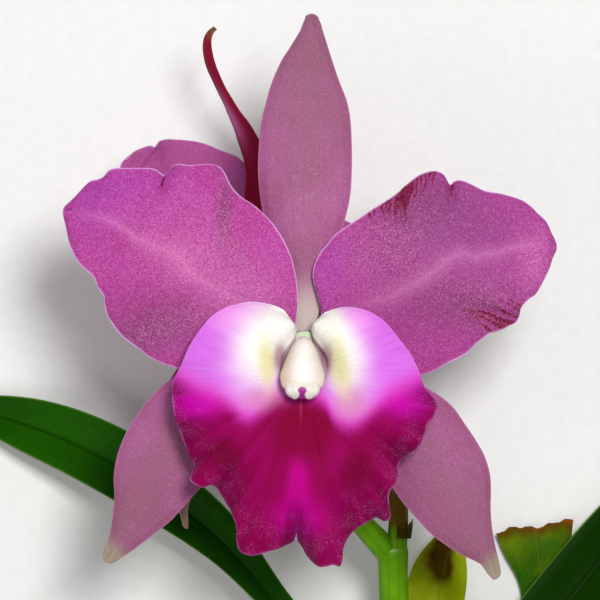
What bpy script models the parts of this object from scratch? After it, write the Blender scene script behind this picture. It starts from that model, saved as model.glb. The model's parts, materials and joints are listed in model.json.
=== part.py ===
"""A cut flowering shoot of a cattleya orchid, laid on its back on a table.

Two blooms grow back to back on one flower stalk. The stalk leaves the cut top of a cane between
two leathery leaves, beside the sheath that it grew out of. The front bloom faces straight up
(+Z) and its dorsal sepal points along +Y. The origin is on the table, under the middle of the
shoot.

Each bloom has the parts of every cattleya: three sepals, two petals, the lip, the column with its
anther cap, and the ovary that carries them all on its round end. Sizes are in millimetres.
"""

import math

import bmesh
import bpy
import numpy as np
from mathutils import Matrix, Vector

MM = 0.001

# The front bloom's hub, where all its parts meet, above the table and off the origin.
FRONT_HUB = (-0.5, 31.0, 74.0)
# The rear bloom's hub, measured from the front one, and how that bloom is turned.
REAR_HUB = (-13.0, 12.0, -54.5)
REAR_TURN = 200.0
REAR_ROLL = 8.0

# The hub is the ovary's round end. Every sepal and petal starts one seat gap away from it.
HUB_RADIUS = 3.6
HUB_FRONT = 3.0
SEAT_GAP = 0.3
SEPAL_LAYER = -1.2
PETAL_LAYER = 1.2

SEPAL_THICK = 1.0
PETAL_THICK = 0.8
LIP_THICK = 0.8
LEAF_THICK = 1.2
SHEATH_THICK = 0.8
BRACT_THICK = 0.6

# How far the blades leave their layers: the tips fall back, the middles arch forwards, the edges
# fall back behind the midrib, and the margins ripple.
DORSAL_FALL = 3.0
DORSAL_CAMBER = 1.8
DORSAL_WAVE = 0.5
LATERAL_FALL = 2.5
LATERAL_TIP_LIFT = 2.0
LATERAL_CAMBER = 2.0
PETAL_ARCH = 2.6
PETAL_FALL = 3.0
PETAL_CAMBER = 1.2
PETAL_RIPPLE = 0.55

# Edges are seen from the front, from the hub outwards, as (x, y) from the hub's centre.
DORSAL_LEFT = [
    (-2.25, 3.9), (-3.2, 7.5), (-4.2, 12.5), (-6.0, 18.8), (-8.0, 25.0), (-9.8, 31.2),
    (-11.0, 37.5), (-11.5, 43.8), (-11.3, 50.0), (-10.7, 56.2), (-9.5, 61.2), (-8.0, 66.2),
    (-5.8, 71.2), (-3.6, 75.0), (-1.3, 78.8), (0.0, 81.2), (0.9, 82.5),
]
DORSAL_RIGHT = [
    (2.25, 3.9), (3.5, 7.5), (4.5, 12.5), (6.0, 18.8), (8.2, 25.0), (10.2, 31.2),
    (11.6, 37.5), (12.0, 43.8), (12.0, 50.0), (11.7, 56.2), (10.8, 61.2), (8.9, 66.2),
    (6.9, 71.2), (5.6, 75.0), (4.5, 78.8), (3.4, 81.2), (2.6, 82.5),
]
LEFT_SEPAL_OUTER = [
    (-4.35, -1.17), (-7.3, -1.4), (-12.2, -2.2), (-18.0, -3.5), (-23.5, -5.2), (-29.2, -7.0),
    (-34.5, -9.4), (-38.5, -13.2), (-41.5, -17.0), (-44.0, -20.8), (-46.0, -25.0),
    (-47.3, -29.3), (-47.8, -33.8), (-47.6, -38.2), (-48.0, -42.5), (-48.6, -46.8),
    (-49.8, -50.5), (-50.2, -53.0),
]
LEFT_SEPAL_INNER = [
    (-1.17, -4.35), (-2.8, -7.5), (-6.0, -12.8), (-10.2, -18.8), (-14.8, -24.2),
    (-19.5, -29.5), (-23.2, -33.2), (-26.2, -36.2), (-28.8, -39.0), (-31.0, -41.5),
    (-33.5, -44.2), (-36.2, -46.4), (-39.2, -48.7), (-41.8, -50.7), (-43.8, -52.1),
    (-45.6, -53.3), (-46.9, -54.1), (-48.3, -54.5),
]
RIGHT_SEPAL_OUTER = [
    (4.35, -1.17), (7.3, -1.5), (12.0, -2.4), (17.5, -4.0), (23.0, -6.5), (29.0, -9.8),
    (34.0, -12.8), (37.5, -15.8), (40.5, -20.0), (43.2, -24.0), (45.5, -28.2),
    (46.8, -32.8), (47.0, -37.0), (46.9, -41.2), (47.2, -45.8), (47.9, -50.0),
    (48.8, -54.0), (49.2, -56.8),
]
RIGHT_SEPAL_INNER = [
    (1.17, -4.35), (3.0, -7.8), (6.2, -12.8), (10.0, -18.5), (14.2, -24.5), (18.2, -30.2),
    (22.0, -35.5), (24.5, -39.2), (27.0, -42.2), (29.5, -45.0), (32.2, -47.8),
    (35.2, -50.0), (38.0, -51.8), (40.5, -53.2), (42.8, -54.2), (44.5, -55.2),
    (45.8, -57.0), (47.3, -58.5),
]
LEFT_PETAL_UPPER = [
    (-3.19, 3.18), (-2.0, 6.5), (-1.6, 10.0), (-1.7, 13.8), (-2.1, 17.5), (-3.0, 21.2),
    (-4.5, 25.0), (-6.8, 29.0), (-9.5, 32.2), (-12.5, 34.9), (-15.8, 37.1), (-18.2, 39.8),
    (-19.8, 43.0), (-21.2, 44.6), (-23.5, 45.2), (-28.5, 44.9), (-31.0, 45.2),
    (-32.8, 44.8), (-34.0, 43.4), (-34.9, 42.4), (-36.0, 43.1), (-37.2, 43.9),
    (-39.2, 44.2), (-44.2, 44.2), (-46.5, 44.2), (-48.5, 43.8), (-50.0, 42.2),
    (-51.5, 41.5), (-53.5, 41.0), (-55.5, 39.2), (-57.5, 37.0), (-59.4, 34.8),
]
LEFT_PETAL_LOWER = [
    (-4.35, -1.16), (-8.0, -1.6), (-13.5, -2.9), (-19.8, -4.8), (-26.0, -6.0),
    (-30.8, -5.9), (-36.0, -4.2), (-39.0, -2.6), (-42.2, -0.2), (-45.2, 2.0),
    (-47.5, 4.8), (-49.0, 7.2), (-49.8, 9.8), (-50.0, 12.0), (-51.5, 14.5), (-52.4, 16.8),
    (-54.2, 18.5), (-56.2, 20.5), (-58.0, 23.5), (-59.1, 26.8), (-59.8, 30.2),
    (-59.8, 32.4),
]
RIGHT_PETAL_UPPER = [
    (3.19, 3.18), (3.8, 5.8), (4.4, 8.2), (4.0, 10.5), (3.4, 12.5), (2.6, 15.2),
    (2.2, 17.8), (2.8, 20.5), (4.0, 23.0), (5.8, 25.2), (8.0, 27.8), (12.8, 31.0),
    (17.5, 34.2), (22.0, 37.0), (25.8, 40.2), (27.8, 41.9), (30.0, 43.0), (32.5, 43.5),
    (34.5, 42.8), (35.5, 41.5), (36.2, 40.3), (36.9, 40.2), (37.5, 40.9), (39.0, 41.2),
    (41.0, 40.5), (45.0, 38.6), (49.2, 37.9), (54.0, 36.5), (56.5, 35.0), (58.5, 33.0),
    (60.2, 31.5), (61.2, 30.0), (61.7, 28.5), (62.4, 26.4),
]
RIGHT_PETAL_LOWER = [
    (4.35, -1.16), (7.8, -1.4), (12.8, -2.2), (18.5, -4.2), (24.0, -6.4), (29.0, -7.4),
    (32.0, -6.5), (35.2, -4.8), (38.5, -3.2), (40.8, -1.8), (42.5, 0.0), (44.8, 1.8),
    (46.5, 2.9), (48.8, 3.6), (51.0, 4.5), (53.0, 5.6), (53.8, 7.2), (54.2, 9.2),
    (55.8, 11.0), (57.8, 12.5), (59.2, 14.5), (60.5, 17.0), (61.5, 19.2), (62.2, 21.6),
    (62.6, 23.6),
]
# The lip's margin, from the left lobe's inner corner round the front to the right lobe's.
LIP_MARGIN = [
    (-5.0, 8.8), (-7.2, 9.8), (-10.5, 10.6), (-13.5, 10.8),
    (-16.8, 10.2), (-19.8, 9.2), (-22.8, 7.2), (-25.2, 4.5), (-27.0, 2.0), (-28.8, -1.2),
    (-30.0, -4.2), (-31.2, -6.6), (-32.3, -8.8), (-32.5, -12.0), (-31.8, -17.5),
    (-30.6, -21.2), (-29.2, -25.0), (-27.8, -28.0), (-27.0, -29.6), (-27.5, -31.2),
    (-28.0, -33.0), (-26.6, -34.2), (-24.8, -34.8), (-23.2, -34.2), (-22.0, -34.6),
    (-20.5, -36.8), (-19.0, -39.2), (-17.5, -42.0), (-16.6, -44.8), (-16.6, -48.0),
    (-15.8, -50.6), (-12.8, -51.7), (-9.8, -51.0), (-6.5, -50.0), (-4.0, -49.2),
    (-2.0, -48.5), (-0.6, -49.6), (0.8, -52.0), (2.3, -53.5), (3.8, -54.4), (5.6, -54.2),
    (7.2, -53.8), (8.8, -54.2), (9.5, -52.2), (9.6, -50.0), (10.6, -47.6), (13.2, -45.0),
    (15.8, -43.5), (17.8, -42.4), (19.8, -43.3), (21.2, -42.6), (21.2, -40.8),
    (20.8, -38.2), (21.0, -36.0), (22.2, -33.8), (23.0, -31.8), (22.9, -30.2),
    (23.6, -28.6), (25.2, -27.2), (27.2, -26.0), (28.6, -24.2), (29.4, -22.0),
    (30.4, -19.5), (31.8, -17.4), (32.8, -15.4), (32.4, -13.6), (31.0, -11.8),
    (29.6, -10.0), (28.8, -7.8), (27.9, -5.4), (26.5, -2.5), (24.8, 0.0), (23.0, 2.2),
    (21.2, 4.5), (19.2, 6.5), (16.5, 8.2), (14.0, 9.1), (10.8, 9.5), (7.8, 9.1), (5.2, 8.2),
]
# The inner edges of its two side lobes pass the column at the throat's wall, mouth and crest.
LIP_INNER_LEFT = [(-2.1, 2.5), (-2.0, 4.0), (-3.0, 6.0)]
LIP_INNER_RIGHT = [(2.2, 2.5), (1.9, 4.0), (2.8, 6.0)]

# The rear bloom turns one petal up and lets the other hang, and its dorsal sepal twists edge-on.
REAR_PETAL_UPPER = [
    (2.15, 3.72), (0.5, 8.0), (-2.5, 14.0), (-5.0, 21.0), (-6.2, 28.0), (-5.0, 33.5),
    (-1.8, 37.7), (0.8, 39.6), (4.8, 41.5), (10.0, 43.9), (16.7, 45.3), (21.2, 45.3),
    (23.6, 43.5), (25.0, 44.1), (27.6, 43.7), (29.8, 42.8), (31.6, 41.2),
]
REAR_PETAL_LOWER = [
    (4.24, 0.75), (9.0, 1.5), (16.0, 3.0), (23.0, 7.0), (28.5, 13.0), (32.0, 19.0),
    (34.5, 25.0), (34.8, 31.0), (34.2, 35.6), (33.4, 38.6),
]
REAR_DORSAL_ROUTE = [
    (0.0, 3.95, -1.2), (-0.2, 12.7, -3.3), (-1.6, 26.1, -5.8), (-1.9, 35.5, -8.4),
    (0.4, 43.5, -10.5), (3.6, 50.4, -12.0), (6.1, 55.8, -13.2), (8.3, 61.2, -14.5),
    (9.4, 66.0, -15.7), (9.3, 69.0, -16.6), (8.4, 71.0, -17.4), (7.0, 72.1, -18.0),
]
REAR_DORSAL_WIDTHS = [
    (0.0, 2.2), (0.15, 4.4), (0.4, 5.0), (0.52, 4.4), (0.62, 3.3), (0.72, 2.3), (0.8, 1.8),
    (0.93, 1.5), (1.0, 0.8),
]
REAR_DORSAL_TWIST = [
    (0.0, 0.0), (0.12, 28.0), (0.25, 62.0), (0.38, 74.0), (0.5, 72.0), (0.6, 74.0),
    (0.7, 80.0), (0.85, 66.0), (1.0, 60.0),
]
REAR_DORSAL_FOLD = 8.0

# How each rear part differs: turn about its bloom's middle, share of the front part's length and
# width, forward bend at 60 mm, and sideways bow.
REAR_POSES = {
    "left_lateral_sepal": (4.7, 0.9, 0.85, -6.0, 0.0),
    "right_lateral_sepal": (-12.5, 0.86, 0.5, -2.0, 8.0),
    "left_petal": (67.0, 0.78, 1.0, -4.0, 0.0),
    "right_petal": (0.0, 1.0, 1.0, -2.0, 0.0),
    "lip": (0.0, 0.9, 0.66, 0.0, 0.0),
}

# Furrows in the petals, as start on the margin, inner end, width and depth.
LEFT_FURROWS = [
    ((-34.9, 42.4), (-38.0, 31.0), 1.8, 1.6),
    ((-20.2, 43.5), (-22.5, 22.0), 2.4, 1.8),
    ((-50.0, 12.0), (-38.0, 14.0), 2.6, 1.2),
]
RIGHT_FURROWS = [
    ((23.6, 38.6), (25.0, 25.0), 1.6, 1.8),
    ((19.6, 35.4), (21.0, 26.0), 1.2, 1.1),
    ((36.6, 40.2), (37.0, 29.0), 1.4, 1.5),
    ((52.5, 4.6), (33.0, 11.5), 2.6, 3.2),
]
REAR_FURROWS = [((24.2, 44.9), (20.0, 33.0), 1.8, 1.6)]

# The throat: its middle and half sizes as seen from the front, and the heights of the lip's parts.
THROAT = (0.0, -6.75)
THROAT_HALF_WIDTH = 7.6
THROAT_HALF_HEIGHT = 8.6
THROAT_MOUTH = 9.0
LIP_SEAT_RADIUS = 2.7
LIP_SEAT_HALF_ANGLE = 122.0
LIP_SEAT_HEIGHT = 3.7
LIP_CREST = 13.2
LIP_EDGE = 9.5
LIP_RUFFLE = 1.2
LIP_KEEL = 1.8

# The column runs forwards and down from the hub's flat front.
COLUMN_ROUTE = [(0.0, -0.3, 3.3), (-0.2, -2.2, 8.0), (-0.4, -6.0, 12.0), (-0.4, -10.0, 15.0)]
COLUMN_WIDTHS = [
    (0.0, 1.7), (0.12, 2.5), (0.25, 3.3), (0.4, 4.0), (0.6, 4.8), (0.8, 5.45), (0.92, 5.2),
    (0.97, 5.0), (1.0, 4.7),
]
COLUMN_DEPTHS = [
    (0.0, 2.0), (0.12, 3.1), (0.25, 3.7), (0.4, 3.8), (0.6, 3.5), (0.84, 3.3), (0.92, 3.1),
    (1.0, 2.6),
]
COLUMN_END = (0.0, -0.66, 0.75)
CAP_HALF_WIDTH = 4.3
CAP_HALF_DEPTH = 2.2
CAP_LENGTH = 2.2

# Stalks: their routes from the front hub, and a radius for each point.
FRONT_PEDICEL = [
    (0.0, 0.0, 3.0), (0.0, 0.0, -3.0), (0.0, 0.0, -9.0), (0.4, -4.0, -18.0),
    (2.5, -14.0, -27.5), (6.0, -28.0, -34.0), (10.5, -40.0, -38.0), (15.0, -47.6, -40.5),
    (19.8, -53.2, -42.5), (22.6, -56.5, -44.0),
]
OVARY_RADII = [3.6, 3.6, 3.4, 3.3, 3.1, 2.9, 2.8, 3.0, 3.3, 3.4]
REAR_PEDICEL = [
    (24.8, -55.6, -44.0), (25.1, -52.5, -43.2), (25.4, -47.0, -43.2), (25.2, -40.0, -44.0),
    (23.0, -27.0, -45.0), (16.9, -12.0, -43.5), (6.6, 1.0, -39.5), (-3.0, 9.0, -36.5),
]
REAR_PEDICEL_RADII = [2.9, 2.7, 2.6, 2.6, 2.6, 2.6, 2.8, 3.1]
# Where that stalk runs up the rear bloom's own axis, to its hub.
REAR_OVARY_ENDS = (-17.0, -10.0, -4.0, HUB_FRONT)
REAR_OVARY_RADII = [3.3, 3.3, HUB_RADIUS, HUB_RADIUS]
PEDUNCLE = [
    (25.4, -112.1, -63.4), (25.3, -107.0, -63.2), (25.0, -97.0, -60.8), (24.7, -84.0, -56.0),
    (24.4, -70.0, -50.0), (24.0, -60.0, -45.6), (23.9, -54.0, -43.4),
]
PEDUNCLE_RADII = [3.2, 3.5, 3.9, 4.0, 4.0, 4.0, 4.3]

# The cane's cut end and top, and the table's height, from the front hub.
TABLE = -FRONT_HUB[2]
TABLE_BLOCK = 100.0
CANE_ROUTE = [
    (27.0, -146.0, -66.4), (27.0, -136.0, -66.2), (26.6, -125.0, -65.6), (26.2, -116.0, -65.2),
    (26.2, -112.5, -65.2),
]
CANE_RADII = [8.5, 9.0, 8.8, 8.2, 7.6]

# Leaves and sheath: the route of the midrib, half widths, lean and fold in degrees.
LEFT_LEAF = {
    "route": [
        (20.6, -112.1, -65.0), (20.4, -108.5, -64.8), (16.5, -101.0, -63.0), (7.0, -88.0, -60.0),
        (-7.0, -73.0, -58.5), (-23.0, -54.8, -58.5), (-43.0, -39.8, -61.0), (-62.0, -29.4, -65.0),
        (-82.0, -22.2, -70.0), (-100.0, -18.0, -73.2),
    ],
    "widths": [
        (0.0, 2.6), (0.1, 3.4), (0.22, 3.9), (0.35, 5.4), (0.5, 8.6), (0.66, 10.6), (0.82, 9.2),
        (0.94, 5.0), (1.0, 1.2),
    ],
    "lean": [(0.0, -75.0), (0.25, -30.0), (0.5, -18.0), (1.0, -8.0)],
    "fold": 30.0,
}
RIGHT_LEAF = {
    "route": [
        (32.3, -112.1, -65.6), (33.0, -109.0, -65.4), (38.0, -104.5, -64.5), (49.0, -97.0, -62.5),
        (60.0, -87.0, -62.5), (71.0, -75.0, -64.0), (83.0, -60.5, -67.0), (92.5, -47.5, -70.5),
        (100.0, -35.0, -73.2),
    ],
    "widths": [
        (0.0, 2.2), (0.1, 4.4), (0.25, 7.4), (0.45, 11.0), (0.65, 11.5), (0.82, 9.5), (0.94, 5.0),
        (1.0, 1.2),
    ],
    "lean": [(0.0, 75.0), (0.12, 50.0), (0.25, 26.0), (0.5, 14.0), (1.0, 6.0)],
    "fold": 26.0,
}
OLD_LEAF = {
    "route": [
        (26.5, -112.1, -70.4), (27.5, -109.3, -70.6), (33.0, -105.5, -71.2), (45.0, -102.0, -72.0),
        (57.0, -96.0, -72.6), (65.0, -86.0, -72.8), (67.0, -73.0, -72.6), (65.8, -61.0, -72.2),
        (64.6, -52.6, -72.0),
    ],
    "widths": [(0.0, 2.2), (0.15, 4.0), (0.5, 5.5), (0.8, 6.2), (0.92, 9.2), (1.0, 11.0)],
    "lean": [(0.0, 0.0), (1.0, 0.0)],
    "fold": 6.0,
}
SHEATH = {
    "route": [
        (30.0, -112.1, -66.0), (30.2, -108.0, -66.0), (32.5, -99.0, -66.0), (35.2, -86.0, -64.5),
        (37.0, -72.0, -62.0), (39.5, -60.0, -60.0), (42.0, -50.0, -58.8),
    ],
    "widths": [(0.0, 1.8), (0.12, 3.6), (0.35, 7.0), (0.6, 9.4), (0.78, 8.8), (0.92, 4.8), (1.0, 1.2)],
    "lean": [(0.0, 60.0), (0.3, 34.0), (1.0, 24.0)],
    "fold": 22.0,
}
# The bract is a cup round the rear pedicel, open on the side where the front pedicel leaves.
BRACT_FOOT = (25.1, -52.3, -43.2)
BRACT_AXIS = (0.06, 0.98, 0.0)
BRACT_LENGTH = 5.2
BRACT_RADII = (3.4, 3.8)
BRACT_ANGLES = (-95.0, 95.0)

COLOURS = {
    "sepal": ((0.47, 0.13, 0.27), 0.45),
    "petal": ((0.52, 0.06, 0.34), 0.45),
    "lip": ((0.43, 0.0, 0.20), 0.4),
    "column": ((0.90, 0.83, 0.78), 0.35),
    "anther": ((0.93, 0.90, 0.84), 0.3),
    "stalk": ((0.15, 0.33, 0.03), 0.4),
    "leaf": ((0.05, 0.16, 0.02), 0.35),
    "sheath": ((0.33, 0.36, 0.08), 0.6),
    "bract": ((0.34, 0.17, 0.05), 0.7),
    "cane": ((0.22, 0.33, 0.08), 0.55),
}


def start_clean():
    for obj in list(bpy.data.objects):
        bpy.data.objects.remove(obj, do_unlink=True)


def make_materials():
    made = {}
    for name, (colour, roughness) in COLOURS.items():
        material = bpy.data.materials.new(name)
        material.use_nodes = True
        shader = material.node_tree.nodes["Principled BSDF"]
        shader.inputs["Base Color"].default_value = (*colour, 1.0)
        shader.inputs["Roughness"].default_value = roughness
        shader.inputs["Metallic"].default_value = 0.0
        made[name] = material
    return made


def smooth_line(points, steps):
    """A Catmull-Rom curve through the points, with the given number of steps from one to the next."""
    points = np.array(points, float)
    first = 2 * points[0] - points[1]
    last = 2 * points[-1] - points[-2]
    padded = np.vstack([first, points, last])
    line = []
    for i in range(len(points) - 1):
        a, b, c, d = padded[i : i + 4]
        for t in np.arange(steps) / steps:
            line.append(
                0.5
                * (
                    2 * b
                    + (c - a) * t
                    + (2 * a - 5 * b + 4 * c - d) * t**2
                    + (3 * b - a - 3 * c + d) * t**3
                )
            )
    line.append(points[-1])
    return np.array(line)


def along(line):
    """Each point's share of the line's whole length, from 0 to 1."""
    lengths = np.linalg.norm(np.diff(line, axis=0), axis=1)
    reached = np.concatenate([[0.0], np.cumsum(lengths)])
    return reached / reached[-1]


def at_shares(line, shares):
    """The points that lie at these shares of the line's length."""
    own = along(line)
    return np.stack([np.interp(shares, own, line[:, k]) for k in range(line.shape[1])], axis=1)


def profile(pairs, at):
    """A smooth value through (place, value) pairs, read at the given places."""
    line = smooth_line(pairs, 12)
    return np.interp(at, line[:, 0], line[:, 1])


def unit(start, end):
    way = np.array(end) - np.array(start)
    return way / np.linalg.norm(way)


def ease(t):
    t = np.clip(t, 0.0, 1.0)
    return t * t * (3 - 2 * t)


def furrow(x, y, start, end, width, depth):
    """A groove that starts deep at the margin and fades out at its inner end."""
    start = np.array(start)
    run = np.array(end) - start
    length = np.linalg.norm(run)
    share = ((x - start[0]) * run[0] + (y - start[1]) * run[1]) / length**2
    off = ((x - start[0]) * run[1] - (y - start[1]) * run[0]) / length
    return -depth * ease(1 - share) * np.exp(-((off / width) ** 2))


def blade(lower, upper, steps, across):
    """The flat outline of a sepal or petal as a grid of (x, y), with u from base to tip and v from
    -1 at the lower edge to 1 at the upper one. Straight rungs join equal shares of the two edges."""
    top = smooth_line(upper, steps)
    bottom = at_shares(smooth_line(lower, 8), along(top))
    v = np.linspace(-1.0, 1.0, across + 1)
    weight = (v[None, :, None] + 1) / 2
    flat = bottom[:, None] * (1 - weight) + top[:, None] * weight
    u = np.broadcast_to(along(top)[:, None], flat.shape[:2])
    return flat[..., 0], flat[..., 1], u, np.broadcast_to(v[None, :], flat.shape[:2])


def camber(u, v, height):
    """Both edges fall back behind the midrib, most of all halfway along."""
    return -height * v**2 * np.sin(math.pi * np.clip(u, 0, 1)) ** 0.7


def dorsal_sepal(steps, across):
    x, y, u, v = blade(DORSAL_LEFT, DORSAL_RIGHT, steps, across)
    z = SEPAL_LAYER - DORSAL_FALL * u**2 + camber(u, v, DORSAL_CAMBER)
    z += DORSAL_WAVE * np.sin(9.0 * u + 1.0) * v**2 * u * (1 - u)
    return np.stack([x, y, z], axis=-1)


def lateral_sepal(inner, outer, steps, across):
    x, y, u, v = blade(inner, outer, steps, across)
    z = SEPAL_LAYER - LATERAL_FALL * u + LATERAL_TIP_LIFT * u**4 + camber(u, v, LATERAL_CAMBER)
    return np.stack([x, y, z], axis=-1)


def petal(lower, upper, steps, across, phase, furrows):
    """A petal arches forwards, falls back to its tip, and ripples slowly along both margins."""
    x, y, u, v = blade(lower, upper, steps, across)
    z = PETAL_LAYER + PETAL_ARCH * np.sin(math.pi * u) - PETAL_FALL * u**2
    z += camber(u, v, PETAL_CAMBER)
    ripple = np.sin(17.0 * u + phase) + 0.5 * np.sin(31.0 * u + 2.0 * phase)
    z += PETAL_RIPPLE * ripple * np.abs(v) ** 3 * ease(3 * u) * ease(8 * (1 - u))
    for start, end, width, depth in furrows:
        z += furrow(x, y, start, end, width, depth) * ease(8 * (1 - u))
    return np.stack([x, y, z], axis=-1)


def lip(margin, rings):
    """The lip fans out from the column's foot. Each vein starts on a ring round the column, runs
    forwards as the wall of the throat, turns over its mouth and crosses the crest to the margin."""
    edge = np.array(margin, float)
    middle = np.array(THROAT)
    reach = edge - middle
    heading = np.unwrap(np.arctan2(reach[:, 1], reach[:, 0]))
    heading += 2 * math.pi * round((1.5 * math.pi - heading.mean()) / (2 * math.pi))
    off = (heading - 1.5 * math.pi) / (heading[-1] - 1.5 * math.pi)
    down = (1 - ease(np.abs(off) * 1.15))[:, None]
    inner = ease((np.abs(off) - 0.72) / 0.28)[:, None]

    seat = 1.5 * math.pi + off * math.radians(LIP_SEAT_HALF_ANGLE)
    base = LIP_SEAT_RADIUS * np.stack([np.cos(seat), np.sin(seat)], axis=1)
    base += np.array(COLUMN_ROUTE[0][:2])
    oval = middle + np.stack(
        [THROAT_HALF_WIDTH * np.cos(heading), THROAT_HALF_HEIGHT * np.sin(heading)], axis=1
    )
    left = (off < 0)[:, None]
    inner_wall, inner_mouth, inner_crest = (
        np.where(left, near, far) for near, far in zip(LIP_INNER_LEFT, LIP_INNER_RIGHT)
    )
    mouth = oval * (1 - inner) + inner_mouth * inner
    wall = (base + 0.6 * (mouth - base)) * (1 - inner) + inner_wall * inner
    crest = (mouth + (edge - mouth) * (0.42 + 0.06 * down)) * (1 - inner) + inner_crest * inner

    def at_height(flat, height):
        return np.hstack([flat, np.broadcast_to(height, (len(flat), 1))])

    rise = THROAT_MOUTH + 1.2 * down - 4.1 * inner
    knots = np.stack(
        [
            at_height(base, LIP_SEAT_HEIGHT),
            at_height(wall, LIP_SEAT_HEIGHT + 0.55 * (rise - LIP_SEAT_HEIGHT)),
            at_height(mouth, rise),
            at_height(crest, LIP_CREST - 0.4 * down - 7.4 * inner),
            at_height(edge, LIP_EDGE - 1.0 * down - 3.3 * inner),
        ]
    )
    places = np.linspace(0, len(knots) - 1, rings + 1)
    fine = smooth_line(knots.reshape(len(knots), -1), 24)
    own = np.arange(len(fine)) / 24
    flat = np.stack([np.interp(places, own, fine[:, k]) for k in range(fine.shape[1])], axis=1)
    grid = flat.reshape(len(places), len(edge), 3)

    x, y = grid[..., 0], grid[..., 1]
    share = np.clip((places[:, None] - 2) / 2, 0, 1)
    ruffle = np.sin(13.0 * heading + 0.8) + 0.6 * np.sin(22.0 * heading + 2.0)
    grid[..., 2] += LIP_RUFFLE * ruffle * share**4 * ease(2.6 * (0.62 - np.abs(off)))
    keel = np.exp(-(((x + 1.2) / 5.0) ** 2)) * ease((-18 - y) / 10) * ease((y + 50) / 14)
    grid[..., 2] += LIP_KEEL * keel * share
    grid[..., 2] += furrow(x, y, (-2.0, -48.5), (-1.5, -36.0), 1.8, 2.0) * share
    return grid


def posed(grid, turn, length, width, bend, bow):
    """Shortens, narrows, bends and bows a part about its own axis, then turns it about the bloom's."""
    tip = grid[-1].mean(axis=0)[:2]
    axis = tip / np.linalg.norm(tip)
    side = np.array((-axis[1], axis[0]))
    flat = grid[..., :2]
    ahead = flat @ axis
    sideways = flat @ side
    free = np.clip(ahead - HUB_RADIUS, 0, None)
    ahead = ahead - free * (1 - length)
    sideways = sideways * (1 - (1 - width) * ease(free / 12))
    sideways = sideways + bow * np.sin(math.pi * np.clip(free / free.max(), 0, 1))
    z = grid[..., 2] + bend * (free / 60) ** 2
    a = math.radians(turn)
    flat = ahead[..., None] * axis + sideways[..., None] * side
    turned = flat @ np.array([[math.cos(a), math.sin(a)], [-math.sin(a), math.cos(a)]])
    return np.dstack([turned, z])


def strap(route, widths, twist, fold, steps, across):
    """A long blade along a route. It leans about its midrib, and its halves fold up along it."""
    route = smooth_line(route, steps)
    share = along(route)
    forward = np.gradient(route, axis=0)
    forward /= np.linalg.norm(forward, axis=1)[:, None]
    side = np.cross(forward, (0.0, 0.0, 1.0))
    side /= np.linalg.norm(side, axis=1)[:, None]
    lift = np.cross(side, forward)
    lean = np.radians(profile(twist, share))[:, None]
    across_way = side * np.cos(lean) + lift * np.sin(lean)
    upward = lift * np.cos(lean) - side * np.sin(lean)
    half = profile(widths, share)[:, None]
    v = np.linspace(-1.0, 1.0, across + 1)[None, :]
    fold = math.radians(fold)
    out = (half * v * math.cos(fold))[..., None]
    up = (half * (np.sqrt(v**2 + 0.03) - 0.17) * math.sin(fold))[..., None]
    return route[:, None] + across_way[:, None] * out + upward[:, None] * up


def bract(steps, across):
    """A cone of paper-thin scale, part of the way round its axis, with an uneven rim."""
    axis = np.array(BRACT_AXIS) / np.linalg.norm(BRACT_AXIS)
    outwards = np.cross(axis, (0.0, 0.0, 1.0))
    outwards /= np.linalg.norm(outwards)
    up = np.cross(outwards, axis)
    share = np.linspace(0.0, 1.0, steps + 1)[:, None]
    turn = np.radians(np.linspace(*BRACT_ANGLES, across + 1))[None, :]
    radius = BRACT_RADII[0] + (BRACT_RADII[1] - BRACT_RADII[0]) * share
    reach = BRACT_LENGTH * share * (1 - 0.35 * np.cos(1.5 * (turn - 1.2)) ** 2)
    round_way = np.cos(turn)[..., None] * outwards + np.sin(turn)[..., None] * up
    return np.array(BRACT_FOOT) + radius[..., None] * round_way + reach[..., None] * axis


def leaf(shape, steps, across):
    grid = strap(shape["route"], shape["widths"], shape["lean"], shape["fold"], steps, across)
    grid[..., 2] = np.maximum(grid[..., 2], TABLE + LEAF_THICK / 2)
    return grid


def sheet_object(name, grid, thickness, material):
    """A curved sheet: a plane grid with its points moved to the given places, then given a thickness.
    Its quads are cut in two first, so that both faces of the sheet fold along the same lines."""
    rows, columns = grid.shape[:2]
    work = bmesh.new()
    bmesh.ops.create_grid(work, x_segments=columns - 1, y_segments=rows - 1, size=1.0)
    for vert, place in zip(work.verts, grid.reshape(-1, 3)):
        vert.co = place * MM
    bmesh.ops.triangulate(work, faces=work.faces[:], quad_method="SHORT_EDGE")
    mesh = bpy.data.meshes.new(name)
    work.to_mesh(mesh)
    work.free()
    mesh.shade_smooth()
    obj = bpy.data.objects.new(name, mesh)
    solid = obj.modifiers.new("thickness", "SOLIDIFY")
    solid.thickness = thickness * MM
    solid.offset = 0.0
    solid.use_even_offset = False
    return finished(obj, material)


def finished(obj, material):
    obj.data.materials.append(material)
    SHOOT.objects.link(obj)
    return obj


def loft_object(name, rings, material):
    """A closed body through unlike sections of equal count, with a flat cap at each end."""
    work = bmesh.new()
    made = [[work.verts.new(place * MM) for place in ring] for ring in rings]
    count = len(made[0])
    for near, far in zip(made, made[1:]):
        for i in range(count):
            j = (i + 1) % count
            work.faces.new((near[i], near[j], far[j], far[i]))
    work.faces.new(made[0][::-1])
    work.faces.new(made[-1])
    bmesh.ops.recalc_face_normals(work, faces=work.faces[:])
    mesh = bpy.data.meshes.new(name)
    work.to_mesh(mesh)
    work.free()
    mesh.shade_smooth()
    mesh.set_sharp_from_angle(angle=math.radians(40))
    return finished(bpy.data.objects.new(name, mesh), material)


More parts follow.
